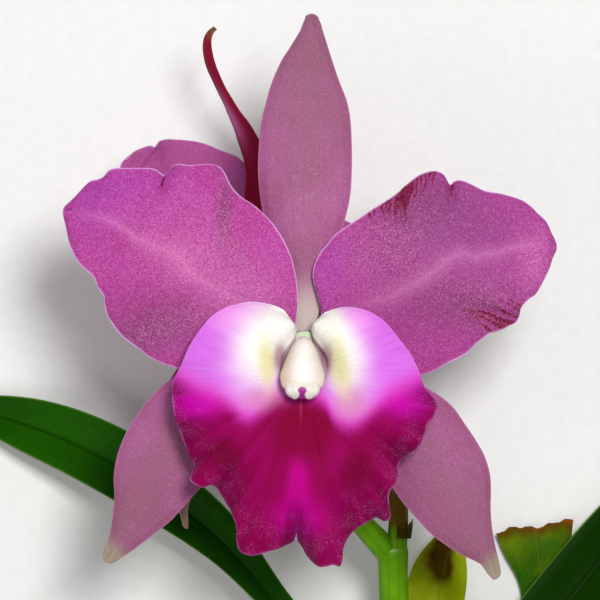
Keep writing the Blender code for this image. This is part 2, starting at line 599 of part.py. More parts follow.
def stalk_object(name, route, radii, steps, material):
    """A round stalk along a smooth route, with a radius for each of the route's own points."""
    line = smooth_line(np.column_stack([route, radii]), steps)
    curve = bpy.data.curves.new(name, "CURVE")
    curve.dimensions = "3D"
    curve.bevel_depth = MM
    curve.bevel_resolution = 4
    curve.use_fill_caps = True
    spline = curve.splines.new("POLY")
    spline.points.add(len(line) - 1)
    for point, (x, y, z, radius) in zip(spline.points, line):
        point.co = (x * MM, y * MM, z * MM, 1.0)
        point.radius = radius
    return finished(bpy.data.objects.new(name, curve), material)


def meshed(obj):
    """The same stalk as a closed mesh, so that it can be cut."""
    bpy.context.view_layer.update()
    evaluated = obj.evaluated_get(bpy.context.evaluated_depsgraph_get())
    mesh = bpy.data.meshes.new_from_object(evaluated)
    work = bmesh.new()
    work.from_mesh(mesh)
    bmesh.ops.remove_doubles(work, verts=work.verts[:], dist=0.001 * MM)
    bmesh.ops.recalc_face_normals(work, faces=work.faces[:])
    work.to_mesh(mesh)
    work.free()
    name = obj.name
    place = obj.matrix_world.copy()
    bpy.data.objects.remove(obj)
    solid = bpy.data.objects.new(name, mesh)
    solid.matrix_world = place
    SHOOT.objects.link(solid)
    return solid


def as_cutter(obj):
    SHOOT.objects.unlink(obj)
    CUTTERS.objects.link(obj)
    obj.hide_render = True
    obj.display_type = "WIRE"
    return obj


def cut(obj, cutter, solver="EXACT"):
    boolean = obj.modifiers.new(cutter.name, "BOOLEAN")
    boolean.operation = "DIFFERENCE"
    boolean.solver = solver
    boolean.object = cutter


def column_rings(sides, sections):
    """Oval sections along the column. The first lies flat on the hub, and they turn to face its end."""
    route = smooth_line(COLUMN_ROUTE, 12)
    shares = np.linspace(0.0, 1.0, sections)
    centres = at_shares(route, shares)
    widths = profile(COLUMN_WIDTHS, shares)
    depths = profile(COLUMN_DEPTHS, shares)
    turn = np.arange(sides) * 2 * math.pi / sides
    rings = []
    for centre, share, width, depth in zip(centres, shares, widths, depths):
        tip = ease(share * 1.6)
        facing = np.array((0.0, 0.0, 1.0)) * (1 - tip) + np.array(COLUMN_END) * tip
        facing /= np.linalg.norm(facing)
        upwards = np.cross(facing, (1.0, 0.0, 0.0))
        back = np.sin(turn)
        rounded = np.where(back > 0, back, 0.72 * back)
        rings.append(
            centre
            + np.outer(np.cos(turn) * width, (1.0, 0.0, 0.0))
            + np.outer(rounded * depth, upwards)
        )
    return rings


def anther_cap_rings(sides, sections):
    """A small bonnet on the column's end, with two lobes that hang down beside a middle cleft."""
    facing = np.array(COLUMN_END) / np.linalg.norm(COLUMN_END)
    upwards = np.cross(facing, (1.0, 0.0, 0.0))
    start = np.array(COLUMN_ROUTE[-1]) + facing * SEAT_GAP
    turn = np.arange(sides) * 2 * math.pi / sides
    rings = []
    for share in np.linspace(0.0, 1.0, sections):
        size = math.sqrt(1 - (share * 0.93) ** 2)
        sideways = np.cos(turn) * CAP_HALF_WIDTH * size
        height = np.sin(turn) * CAP_HALF_DEPTH * size
        cleft = np.exp(-((sideways / 0.8) ** 2)) * (np.sin(turn) < 0)
        height = height * (1 - 0.45 * cleft) - 0.5
        rings.append(
            start
            + facing * CAP_LENGTH * share
            + np.outer(sideways, (1.0, 0.0, 0.0))
            + np.outer(height, upwards)
        )
    return rings


def add_tip_parts(prefix, fine):
    sides, sections = (16, 10) if fine else (10, 7)
    return [
        loft_object(prefix + "column", column_rings(sides, sections), colours["column"]),
        loft_object(prefix + "anther_cap", anther_cap_rings(sides, 5), colours["anther"]),
    ]


def front_bloom():
    return [
        sheet_object("dorsal_sepal", dorsal_sepal(1, 6), SEPAL_THICK, colours["sepal"]),
        sheet_object(
            "left_lateral_sepal",
            lateral_sepal(LEFT_SEPAL_INNER, LEFT_SEPAL_OUTER, 1, 6),
            SEPAL_THICK,
            colours["sepal"],
        ),
        sheet_object(
            "right_lateral_sepal",
            lateral_sepal(RIGHT_SEPAL_INNER, RIGHT_SEPAL_OUTER, 1, 6),
            SEPAL_THICK,
            colours["sepal"],
        ),
        sheet_object(
            "left_petal",
            petal(LEFT_PETAL_LOWER, LEFT_PETAL_UPPER, 1, 8, 0.6, LEFT_FURROWS),
            PETAL_THICK,
            colours["petal"],
        ),
        sheet_object(
            "right_petal",
            petal(RIGHT_PETAL_LOWER, RIGHT_PETAL_UPPER, 1, 8, 2.3, RIGHT_FURROWS),
            PETAL_THICK,
            colours["petal"],
        ),
        sheet_object("lip", lip(LIP_MARGIN, 10), LIP_THICK, colours["lip"]),
        *add_tip_parts("", True),
    ]


def mirrored(grid):
    return grid[:, ::-1] * np.array((-1.0, 1.0, 1.0))


def rear_bloom():
    """The rear bloom's left and right are its own, as seen from its front."""
    upright = petal(REAR_PETAL_LOWER, REAR_PETAL_UPPER, 1, 6, 1.4, REAR_FURROWS)
    grids = {
        "left_lateral_sepal": lateral_sepal(LEFT_SEPAL_INNER, LEFT_SEPAL_OUTER, 1, 4),
        "right_lateral_sepal": lateral_sepal(RIGHT_SEPAL_INNER, RIGHT_SEPAL_OUTER, 1, 4),
        "left_petal": mirrored(upright),
        "right_petal": upright,
        "lip": lip(LIP_MARGIN[::2], 6),
    }
    looks = {
        "left_lateral_sepal": (SEPAL_THICK, "sepal"),
        "right_lateral_sepal": (SEPAL_THICK, "sepal"),
        "left_petal": (PETAL_THICK, "petal"),
        "right_petal": (PETAL_THICK, "petal"),
        "lip": (LIP_THICK, "lip"),
    }
    dorsal = strap(REAR_DORSAL_ROUTE, REAR_DORSAL_WIDTHS, REAR_DORSAL_TWIST, REAR_DORSAL_FOLD, 2, 4)
    made = [sheet_object("rear_dorsal_sepal", dorsal, SEPAL_THICK, colours["sepal"])]
    for name, grid in grids.items():
        thickness, look = looks[name]
        shaped = posed(grid, *REAR_POSES[name])
        made.append(sheet_object("rear_" + name, shaped, thickness, colours[look]))
    return made + add_tip_parts("rear_", False)


def stalks():
    """The two ovaries on their pedicels, the peduncle, and the cane with its flat underside. The front
    pedicel is hollowed where it meets the stalks that it grows from."""
    rear_ends = [REAR_MATRIX @ Vector((0, 0, z * MM)) / MM for z in REAR_OVARY_ENDS]
    rear_route = REAR_PEDICEL + [tuple(point) for point in rear_ends]
    rear_radii = REAR_PEDICEL_RADII + REAR_OVARY_RADII
    beyond = np.array(PEDUNCLE[-1]) + SEAT_GAP * unit(PEDUNCLE[-2], PEDUNCLE[-1])
    peduncle_room = room_for("peduncle_room", PEDUNCLE[:-1] + [tuple(beyond)], PEDUNCLE_RADII, 3)
    rear_stalk_room = room_for("rear_stalk_room", rear_route, rear_radii, 2)

    ovary = meshed(stalk_object("ovary", FRONT_PEDICEL, OVARY_RADII, 3, colours["stalk"]))
    cut(ovary, peduncle_room)
    # A second exact cut empties this mesh, so it has the other solver.
    cut(ovary, rear_stalk_room, "MANIFOLD")
    rear_ovary = meshed(stalk_object("rear_ovary", rear_route, rear_radii, 2, colours["stalk"]))
    cut(rear_ovary, peduncle_room)
    peduncle = stalk_object("peduncle", PEDUNCLE, PEDUNCLE_RADII, 3, colours["stalk"])
    cane = meshed(stalk_object("cane", CANE_ROUTE, CANE_RADII, 3, colours["cane"]))
    cut(cane, table_room())
    return [ovary, rear_ovary, peduncle, cane]


def room_for(name, route, radii, steps):
    """A cutter that leaves one seat gap round a stalk."""
    grown = [radius + SEAT_GAP for radius in radii]
    return as_cutter(meshed(stalk_object(name, route, grown, steps, colours["stalk"])))


def table_room():
    """A block below the table's top, which cuts the cane's underside flat."""
    work = bmesh.new()
    bmesh.ops.create_cube(work, size=TABLE_BLOCK * MM)
    x, y, _ = CANE_ROUTE[1]
    place = Vector((x, y, TABLE - TABLE_BLOCK / 2)) * MM
    bmesh.ops.translate(work, vec=place, verts=work.verts)
    mesh = bpy.data.meshes.new("table_room")
    work.to_mesh(mesh)
    work.free()
    block = bpy.data.objects.new("table_room", mesh)
    SHOOT.objects.link(block)
    return as_cutter(block)


def leaves():
    return [
        sheet_object("left_leaf", leaf(LEFT_LEAF, 3, 6), LEAF_THICK, colours["leaf"]),
        sheet_object("right_leaf", leaf(RIGHT_LEAF, 3, 6), LEAF_THICK, colours["leaf"]),
        sheet_object("old_leaf", leaf(OLD_LEAF, 3, 6), LEAF_THICK, colours["sheath"]),
        sheet_object("sheath", leaf(SHEATH, 3, 6), SHEATH_THICK, colours["sheath"]),
        sheet_object("floral_bract", bract(4, 12), BRACT_THICK, colours["bract"]),
    ]


start_clean()
SHOOT = bpy.data.collections.new("cattleya_orchid")
CUTTERS = bpy.data.collections.new("cutters")
bpy.context.scene.collection.children.link(SHOOT)
bpy.context.scene.collection.children.link(CUTTERS)
colours = make_materials()

shoot = bpy.data.objects.new("shoot", None)
SHOOT.objects.link(shoot)
shoot.location = [value * MM for value in FRONT_HUB]
REAR_MATRIX = (
    Matrix.Translation([value * MM for value in REAR_HUB])
    @ Matrix.Rotation(math.radians(REAR_ROLL), 4, "Z")
    @ Matrix.Rotation(math.radians(REAR_TURN), 4, "Y")
)
rear_centre = bpy.data.objects.new("rear_centre", None)
SHOOT.objects.link(rear_centre)
rear_centre.parent = shoot
rear_centre.matrix_local = REAR_MATRIX

for part in front_bloom() + stalks() + leaves() + list(CUTTERS.objects):
    part.parent = shoot
for part in rear_bloom():
    part.parent = rear_centre
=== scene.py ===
# %% [markdown]
# # A cattleya orchid, dressed for its portrait
#
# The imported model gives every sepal, petal, leaf and stalk of the cut shoot as a plain faceted
# solid. This lesson puts a finer piece in the place of each one. Every piece is a surface worked out
# with numpy from the same outlines and the same formulas as its solid, so it keeps that solid's form,
# and then gets what a closer look shows: thin rims, ripples, veins, ribs and a coloured skin.
#
# Lengths are in millimetres, measured from the hub where the front bloom's parts meet, and become
# metres only when a mesh is made.

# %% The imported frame
import json
import math

import bpy
import numpy as np
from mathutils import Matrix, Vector

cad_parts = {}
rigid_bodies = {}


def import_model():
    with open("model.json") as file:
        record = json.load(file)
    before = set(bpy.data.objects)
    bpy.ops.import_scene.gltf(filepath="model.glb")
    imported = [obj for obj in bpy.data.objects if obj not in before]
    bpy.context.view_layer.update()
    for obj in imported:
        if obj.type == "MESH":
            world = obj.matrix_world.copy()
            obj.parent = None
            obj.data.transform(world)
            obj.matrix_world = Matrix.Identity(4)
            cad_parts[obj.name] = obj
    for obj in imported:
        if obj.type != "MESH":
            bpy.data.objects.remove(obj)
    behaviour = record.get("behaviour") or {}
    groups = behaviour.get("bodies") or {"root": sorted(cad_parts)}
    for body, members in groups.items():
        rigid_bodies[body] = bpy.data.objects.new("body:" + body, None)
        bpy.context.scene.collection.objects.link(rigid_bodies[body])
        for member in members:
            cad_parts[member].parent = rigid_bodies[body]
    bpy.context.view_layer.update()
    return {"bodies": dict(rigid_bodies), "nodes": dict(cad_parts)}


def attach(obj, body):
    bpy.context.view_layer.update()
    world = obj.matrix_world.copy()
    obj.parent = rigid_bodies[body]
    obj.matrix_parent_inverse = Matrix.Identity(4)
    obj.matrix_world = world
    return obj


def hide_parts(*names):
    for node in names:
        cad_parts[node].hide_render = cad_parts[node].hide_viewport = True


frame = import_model()

# %% [markdown]
# ## A clean scene
#
# A new Blender file brings a cube, a lamp and a camera that have no place in the portrait. They
# could be hidden or reused. Removing them is safer, because nothing unnamed is left to shine or to
# be counted as a piece.

# %% Remove what Blender's new file brings
kept = set(frame["nodes"].values()) | set(frame["bodies"].values())
for obj in list(bpy.data.objects):
    if obj not in kept:
        bpy.data.objects.remove(obj, do_unlink=True)

# %% [markdown]
# ## Measures of the whole shoot
#
# Two blooms grow back to back. All of the front bloom is measured from its hub. The rear bloom is
# the same flower on its own hub, so one matrix carries it to its place: half a turn and a bit about
# Y, then a small roll about Z.

# %% Where the two blooms are
MM = 0.001
FRONT_HUB = np.array([-0.5, 31.0, 74.0])
REAR_HUB = np.array([-13.0, 12.0, -54.5])
REAR_TURN = math.radians(200.0)
REAR_ROLL = math.radians(8.0)
TABLE = -FRONT_HUB[2]

cosine, sine = math.cos(REAR_TURN), math.sin(REAR_TURN)
about_y = np.array([[cosine, 0, sine], [0, 1, 0], [-sine, 0, cosine]])
cosine, sine = math.cos(REAR_ROLL), math.sin(REAR_ROLL)
about_z = np.array([[cosine, -sine, 0], [sine, cosine, 0], [0, 0, 1]])
REAR_AXES = about_z @ about_y


def to_rear(points):
    """Points of a bloom, carried to the rear hub: the rear axes times the point, plus that hub."""
    return points @ REAR_AXES.T + REAR_HUB


print("rear bloom faces", REAR_AXES[:, 2].round(2))

# %% [markdown]
# ## Smooth lines
#
# The edge of a petal is a free curve. It could be a Bezier curve object, but the surface between two
# edges needs their points as numbers. A Catmull-Rom curve passes through every point that is given,
# so the outline stays a short list of places read along the real edge.

# %% Curves through points
EDGE_STEPS, PROFILE_STEPS, ROUTE_STEPS = 8, 12, 24


def smooth_line(points, steps):
    """Between two neighbouring points, the cubic that leaves each of them parallel to the line
    from the point before it to the point after it."""
    points = np.array(points, float)
    padded = np.vstack([2 * points[0] - points[1], points, 2 * points[-1] - points[-2]])
    count = len(points) - 1
    a, b, c, d = (padded[k : k + count, None] for k in range(4))
    t = (np.arange(steps) / steps)[None, :, None]
    cubic = 2 * b + (c - a) * t + (2 * a - 5 * b + 4 * c - d) * t**2
    cubic = 0.5 * (cubic + (3 * b - a - 3 * c + d) * t**3)
    return np.vstack([cubic.reshape(-1, points.shape[1]), points[-1:]])


def along(line):
    """The share of the line's length that is reached at each of its points."""
    reached = np.cumsum(np.linalg.norm(np.diff(line, axis=0), axis=1))
    return np.concatenate([[0.0], reached]) / reached[-1]


def at_shares(line, shares):
    """The places that lie at the given shares of the line's length."""
    own = along(line)
    return np.stack([np.interp(shares, own, line[:, k]) for k in range(line.shape[1])], axis=1)


def profile(pairs, at):
    """A smooth value through (place, value) pairs, read at the given places."""
    line = smooth_line(pairs, PROFILE_STEPS)
    return np.interp(at, line[:, 0], line[:, 1])


def ease(t):
    """0 below 0, 1 above 1, and between them 3t^2 - 2t^3."""
    t = np.clip(t, 0.0, 1.0)
    return t * t * (3 - 2 * t)


def unit(vectors):
    """The same directions, each one long."""
    return vectors / np.linalg.norm(vectors, axis=-1, keepdims=True)


def square_to(line, across):
    """At each point of a line, two directions square to it and to each other: the cross product of
    the way ahead and across, and the cross product of that and the way ahead."""
    ahead = unit(np.gradient(line, axis=0))
    side = unit(np.cross(ahead, across))
    return side, np.cross(side, ahead)


print("a smooth line through 3 points in 4 steps:", smooth_line([(0, 0), (1, 1), (2, 0)], 4).shape)

# %% [markdown]
# ## From a curved sheet to a closed piece
#
# A petal is a sheet well under a millimetre thick, thickest along its middle and almost sharp at its
# rim. Solidify gives one thickness all over, and its rim looks like cut card. Here each point of
# the middle surface moves half its own thickness both ways along the surface's normal, so the rim
# can be thin. What a finish needs to know, such as how near the rim is, is stored on the points.

# %% Sheets with two faces and a rim
# How thick the blades of each slot are along the middle. At the rim they have RIM_SHARE of it, and
# reach the whole RIM_WIDTH further in. The rim's own colour fades over RIM_LINE.
THICKNESS = {
    "sepal": 1.0, "petal": 0.8, "lip": 0.8, "leaf": 1.2, "old_leaf": 1.2, "sheath": 0.8, "bract": 0.6,
}
RIM_SHARE = 0.32
RIM_WIDTH = 2.5
RIM_LINE = 0.4
# The material of each slot, filled in as each paint is made.
SKINS = {}


def sheet_normals(middle):
    """The cross product of the steps along the rows and along the columns, made one long."""
    return unit(np.cross(np.gradient(middle, axis=0), np.gradient(middle, axis=1)))


def rim_distance(middle):
    """How far each point is from the nearest open edge: along its row to both of its ends, and along
    its column to the last row."""
    over = np.linalg.norm(np.diff(middle, axis=1), axis=2)
    over = np.concatenate([np.zeros((len(over), 1)), np.cumsum(over, axis=1)], axis=1)
    out = np.linalg.norm(np.diff(middle, axis=0), axis=2)
    out = np.concatenate([np.zeros((1, out.shape[1])), np.cumsum(out, axis=0)])
    return np.minimum(np.minimum(over, over[:, -1:] - over), out[-1:] - out)


def sheet_faces(rows, columns):
    """Quads of both faces of a grid sheet and of the strip that joins them round the rim."""
    index = np.arange(rows * columns).reshape(rows, columns)
    top = np.stack([index[:-1, :-1], index[1:, :-1], index[1:, 1:], index[:-1, 1:]], axis=-1)
    top = top.reshape(-1, 4)
    bottom = top[:, ::-1] + rows * columns
    rim = np.concatenate([index[:-1, 0], index[-1, :-1], index[:0:-1, -1], index[0, :0:-1]])
    after = np.roll(rim, -1)
    strip = np.stack([after, rim, rim + rows * columns, after + rows * columns], axis=-1)
    return np.vstack([top, bottom, strip])


def make_mesh(name, points, faces, fields, across_map=None):
    """A smooth mesh from points in mm, with one number a point for each named field."""
    mesh = bpy.data.meshes.new(name)
    mesh.from_pydata((points + FRONT_HUB) * MM, [], faces)
    for field, values in fields.items():
        mesh.attributes.new(field, "FLOAT", "POINT").data.foreach_set("value", values.astype(np.float32))
    if across_map is not None:
        corners = np.empty(len(mesh.loops), np.int32)
        mesh.loops.foreach_get("vertex_index", corners)
        layer = mesh.uv_layers.new(name="along_across")
        layer.data.foreach_set("uv", across_map[corners].astype(np.float32).ravel())
    mesh.shade_smooth()
    mesh.validate()
    return mesh


def add_piece(mesh, node, slot, skin=None):
    """Puts the mesh in the scene in place of its CAD node. The slot names the skin, if none is given."""
    mesh.materials.append(SKINS[slot] if skin is None else skin)
    piece = bpy.data.objects.new(mesh.name, mesh)
    bpy.context.scene.collection.objects.link(piece)
    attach(piece, "root")
    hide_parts(node)
    print(piece.name, "faces:", len(mesh.polygons))


def add_sheet(node, sheet, fields, slot, front=(0.0, 0.0, 1.0), skin=None):
    """A closed piece from (middle surface, u, v). The thickness thins towards the rim, and the field
    named back is 1 on the face that looks away from the bloom's front."""
    middle, u, v = sheet
    normal = sheet_normals(middle)
    inwards = rim_distance(middle)
    half = THICKNESS[slot] / 2 * (RIM_SHARE + (1 - RIM_SHARE) * ease(inwards / RIM_WIDTH))[..., None]
    points = np.stack([middle + normal * half, middle - normal * half]).reshape(-1, 3)
    faces_front = (normal @ np.array(front)).mean() > 0
    fields = fields | {"rim": np.exp(-inwards / RIM_LINE)}
    both = {field: np.tile(np.ravel(values), 2) for field, values in fields.items()}
    both["back"] = np.repeat([0.0, 1.0] if faces_front else [1.0, 0.0], u.size)
    across_map = np.tile(np.stack([u.ravel(), v.ravel()], axis=1), (2, 1))
    mesh = make_mesh(node + "_blade", points, sheet_faces(*u.shape), both, across_map)
    add_piece(mesh, node, slot, skin)


print("a sheet of 3 by 4 points has", len(sheet_faces(3, 4)), "faces")

# %% [markdown]
# ## Paint from nodes
#
# The skin of a flower is rows of tiny domed cells. Each cell catches the light on its own, which
# gives the fine sparkle, and the colour under it changes slowly with veins running through. A
# painted picture would be one way, but a mix of noise patterns and the stored fields stays sharp at
# any distance. The class below keeps the few node recipes that all the finishes share.

# %% A small paint box
def srgb(red, green, blue):
    """A colour given as 0 to 255 on the screen, as the linear light that a shader works in."""
    value = np.array([red, green, blue]) / 255
    linear = np.where(value <= 0.04045, value / 12.92, ((value + 0.055) / 1.055) ** 2.4)
    return (*linear.tolist(), 1.0)


class Paint:
    """One node material, and the patterns that its colour is mixed from."""

    def __init__(self, name, **sockets):
        self.material = bpy.data.materials.new(name)
        self.material.use_nodes = True
        self.tree = self.material.node_tree
        self.shader = self.tree.nodes["Principled BSDF"]
        self.fill(self.shader, {socket.replace("_", " "): value for socket, value in sockets.items()})
        place = self.tree.nodes.new("ShaderNodeTexCoord")
        self.place = place.outputs["Object"]
        self.map = place.outputs["UV"]

    def fill(self, node, inputs):
        """Each input gets a link from another node's output, or a plain value."""
        for socket, value in inputs.items():
            if isinstance(value, bpy.types.NodeSocket):
                self.tree.links.new(value, node.inputs[socket])
            else:
                node.inputs[socket].default_value = value

    def node(self, kind, output, inputs, **settings):
        """One output of a new node with these settings and inputs."""
        node = self.tree.nodes.new("ShaderNode" + kind)
        for setting, value in settings.items():
            setattr(node, setting, value)
        self.fill(node, inputs)
        return node.outputs[output]

    def field(self, name):
        """A number stored on the points."""
        return self.node("Attribute", "Fac", {}, attribute_name=name)

    def noise(self, scale, detail, stretch=None):
        """Cloudy noise. With a stretch it follows the sheet's own map, and else the place in space."""
        vector = self.place
        if stretch is not None:
            vector = self.node("Mapping", "Vector", {"Vector": self.map, "Scale": stretch})
        return self.node("TexNoise", "Fac", {"Vector": vector, "Scale": scale, "Detail": detail})

    def cells(self, scale):
        """Skin cells: how far each place is from the middle of its cell."""
        return self.node("TexVoronoi", "Distance", {"Vector": self.place, "Scale": scale})

    def step(self, value, low, high, floor=0.0, top=1.0):
        """A smooth step: floor where the value is below low, top where it is above high."""
        inputs = {"Value": value, "From Min": low, "From Max": high, "To Min": floor, "To Max": top}
        return self.node("MapRange", "Result", inputs, interpolation_type="SMOOTHSTEP")

    def plus(self, a, b):
        """The sum of two numbers."""
        return self.node("Math", 0, {0: a, 1: b}, operation="ADD")

    def times(self, first, *others):
        """The product of all the numbers."""
        for other in others:
            first = self.node("Math", 0, {0: first, 1: other}, operation="MULTIPLY")
        return first

    def swing(self, noise, size):
        """The noise, moved to swing about 0 and then made that much smaller or larger."""
        return self.times(self.plus(noise, -0.5), size)

    def coats(self, colour, *coats):
        """Lays coats over a ground colour, each a (pattern, how, colour). A pattern that is a name
        means the field stored under it. How is the limits of a smooth step, or a plain factor."""
        for pattern, how, over in coats:
            if isinstance(pattern, str):
                pattern = self.field(pattern)
            share = self.step(pattern, *how) if isinstance(how, tuple) else self.times(pattern, how)
            under, over = (srgb(*c) if isinstance(c, tuple) else c for c in (colour, over))
            colour = self.node("Mix", 2, {0: share, 6: under, 7: over}, data_type="RGBA")
        return colour

    def sparkle(self, scale, share):
        """Glints: the middles of the given share of all the skin cells, drawn by a random grey."""
        distance = self.cells(scale)
        grey = self.node("SeparateColor", "Red", {"Color": distance.node.outputs["Color"]})
        drawn = self.step(grey, 1 - share, 1 - 0.6 * share)
        return self.times(drawn, self.step(distance, 0.15, 0.45, 1.0, 0.0))

    def finish(self, colour, roughness, height, depth):
        """Joins the colour, the roughness and a relief of the given depth in metres to the shader."""
        relief = self.node("Bump", "Normal", {"Strength": 1.0, "Distance": depth, "Height": height})
        self.fill(self.shader, {"Base Color": colour, "Roughness": roughness, "Normal": relief})
        return self.material


SKIN_CELLS = 3800.0
print("middle grey on the screen is", round(srgb(128, 128, 128)[0], 3), "in linear light")

# %% [markdown]
# ## Blades
#
# A sepal or petal is drawn by its two edges, from the hub to the tip. Straight rungs join equal
# shares of the two edges, and points along each rung crowd towards its ends, because that is where
# the ripples are. Blender's own grid could be bent by a lattice, but a formula on the rungs says
# exactly where each fold is.

# %% The rungs of a blade, and what bends it
ROOT_SHARE = 0.86
TIP_START = 0.96
TIP_ROUND = 0.34


def rooted(edge):
    """The edge, its first point drawn in to the hub's skin, so that no slit shows at the root."""
    return [(ROOT_SHARE * edge[0][0], ROOT_SHARE * edge[0][1])] + edge[1:]


def blade(lower, upper, rows, columns):
    """The flat blade: x and y of each point, u from base to tip and v from -1 to 1 across. The
    columns sit at the sine of even steps from -90 to 90 degrees. Half an ellipse rounds the tip."""
    shares = np.linspace(0.0, 1.0, rows)
    bottom, top = (at_shares(smooth_line(rooted(edge), EDGE_STEPS), shares) for edge in (lower, upper))
    v = np.sin(np.linspace(-math.pi / 2, math.pi / 2, columns))
    weight = (v[None, :, None] + 1) / 2
    flat = bottom[:, None] * (1 - weight) + top[:, None] * weight
    ahead = (flat[-1] - flat[-6]).mean(axis=0)
    round_tip = TIP_ROUND * np.linalg.norm(top[-1] - bottom[-1]) * np.sqrt(1 - v**2)
    last = ease((shares - TIP_START) / (1 - TIP_START))[:, None, None]
    flat = flat + last * round_tip[:, None] * ahead / np.linalg.norm(ahead)
    u = np.broadcast_to(shares[:, None], flat.shape[:2])
    return flat[..., 0], flat[..., 1], u, np.broadcast_to(v[None, :], flat.shape[:2])


def camber(u, v, height):
    """Both edges fall back behind the midrib: minus height times v squared, most in the middle."""
    return -height * v**2 * np.sin(math.pi * np.clip(u, 0, 1)) ** 0.7


def bell(value, width):
    """1 where the value is 0, fading to both sides: e to the minus square of value over width."""
    return np.exp(-((value / width) ** 2))


def furrow_strength(x, y, start, end, width):
    """1 along the line from start to end, fading to 0 at its end and to its sides."""
    start = np.array(start)
    run = np.array(end) - start
    length = np.linalg.norm(run)
    share = ((x - start[0]) * run[0] + (y - start[1]) * run[1]) / length**2
    off = ((x - start[0]) * run[1] - (y - start[1]) * run[0]) / length
    return ease(1 - share) * bell(off, width)


def patch(x, y, centre, radii, turn=0.0):
    """A soft oval: e to the minus squared distance from its centre, in units of its radii."""
    a = math.radians(turn)
    over = (x - centre[0]) * math.cos(a) + (y - centre[1]) * math.sin(a)
    up = -(x - centre[0]) * math.sin(a) + (y - centre[1]) * math.cos(a)
    return np.exp(-((over / radii[0]) ** 2) - (up / radii[1]) ** 2)


def patches(x, y, ovals):
    """The sum of several soft ovals, 0 where there are none."""
    return sum((patch(x, y, *oval) for oval in ovals), np.zeros_like(x))


def fine_veins(u, v, count, height):
    """Raised veins along the blade: a cosine of v that wanders a little and fades at rim and base."""
    wander = 0.5 * np.sin(5.0 * u + 7.0 * v) + 0.3 * np.sin(11.0 * u - 4.0 * v)
    ridge = np.cos(count * v + wander) ** 4
    return height * ridge * ease(6 * u) * ease(3 * (1 - np.abs(v)))


print("camber halfway along, at the edge:", float(camber(np.array(0.5), np.array(1.0), 2.0)))

# %% [markdown]
# ## Sepals
#
# The three sepals were the bud's outer coat, so they are the toughest and dullest parts of the
# bloom: dusky mauve with a breath of green along the middle, greenish white at the claw, and a hard
# pale tip. The dorsal one stands straight and the lateral two curve down like sabres.

# %% Edges of the three sepals
SEPAL_LAYER = -1.2
SEPAL_GRID = (170, 57)
DORSAL_LEFT = [
    (-2.25, 3.9), (-3.2, 7.5), (-4.2, 12.5), (-6.0, 18.8), (-8.0, 25.0), (-9.8, 31.2),
    (-11.0, 37.5), (-11.5, 43.8), (-11.3, 50.0), (-10.7, 56.2), (-9.5, 61.2), (-8.0, 66.2),
    (-5.8, 71.2), (-3.4, 75.0), (-1.1, 78.8), (0.0, 81.2), (0.5, 82.4),
]
DORSAL_RIGHT = [
    (2.25, 3.9), (3.5, 7.5), (4.5, 12.5), (6.0, 18.8), (8.2, 25.0), (10.2, 31.2),
    (11.6, 37.5), (12.0, 43.8), (12.0, 50.0), (11.7, 56.2), (10.8, 61.2), (8.9, 66.2),
    (7.2, 71.2), (6.0, 75.0), (4.8, 78.8), (4.0, 81.2), (3.4, 82.3),
]
LEFT_SEPAL_OUTER = [
    (-4.35, -1.17), (-7.3, -1.4), (-12.2, -2.2), (-18.0, -3.5), (-23.5, -5.2), (-29.2, -7.0),
    (-34.5, -9.4), (-38.5, -13.2), (-41.5, -17.0), (-44.0, -20.8), (-46.0, -25.0),
    (-47.3, -29.3), (-47.8, -33.8), (-47.6, -38.2), (-48.0, -42.5), (-48.6, -46.8),
    (-49.8, -50.5), (-50.2, -53.0),
]
LEFT_SEPAL_INNER = [
    (-1.17, -4.35), (-2.8, -7.5), (-6.0, -12.8), (-10.2, -18.8), (-14.8, -24.2),
    (-19.5, -29.5), (-23.2, -33.2), (-26.2, -36.2), (-28.8, -39.0), (-31.0, -41.5),
    (-33.5, -44.2), (-36.2, -46.4), (-39.2, -48.7), (-41.8, -50.7), (-43.8, -52.1),
    (-45.6, -53.3), (-46.9, -54.1), (-48.3, -54.5),
]
RIGHT_SEPAL_OUTER = [
    (4.35, -1.17), (7.3, -1.5), (12.0, -2.4), (17.5, -4.0), (23.0, -6.5), (29.0, -9.8),
    (34.0, -12.8), (37.5, -15.8), (40.5, -20.0), (43.2, -24.0), (45.5, -28.2),
    (46.8, -32.8), (47.0, -37.0), (46.9, -41.2), (47.2, -45.8), (47.9, -50.0),
    (48.8, -54.0), (49.2, -56.8),
]
RIGHT_SEPAL_INNER = [
    (1.17, -4.35), (3.0, -7.8), (6.2, -12.8), (10.0, -18.5), (14.2, -24.5), (18.2, -30.2),
    (22.0, -35.5), (24.5, -39.2), (27.0, -42.2), (29.5, -45.0), (32.2, -47.8),
    (35.2, -50.0), (38.0, -51.8), (40.5, -53.2), (42.8, -54.2), (44.5, -55.2),
    (45.8, -57.0), (47.3, -58.5),
]
print("dorsal sepal:", round(DORSAL_RIGHT[-1][1] - DORSAL_RIGHT[0][1], 1), "mm long")

# %% The sepals as surfaces
DORSAL_FALL, DORSAL_CAMBER, DORSAL_WAVE = 3.0, 1.8, 0.5
LATERAL_FALL, LATERAL_LIFT, LATERAL_CAMBER = 2.5, 2.0, 2.0
SEPAL_VEINS = (12.0, 0.07)


def dorsal_sepal(rows, columns):
    """z falls back with u squared, both edges fall with v squared, and one slow wave crosses it."""
    x, y, u, v = blade(DORSAL_LEFT, DORSAL_RIGHT, rows, columns)
    z = SEPAL_LAYER - DORSAL_FALL * u**2 + camber(u, v, DORSAL_CAMBER)
    z = z + DORSAL_WAVE * np.sin(9.0 * u + 1.0) * v**2 * u * (1 - u) + fine_veins(u, v, *SEPAL_VEINS)
    return np.stack([x, y, z], axis=-1), u, v


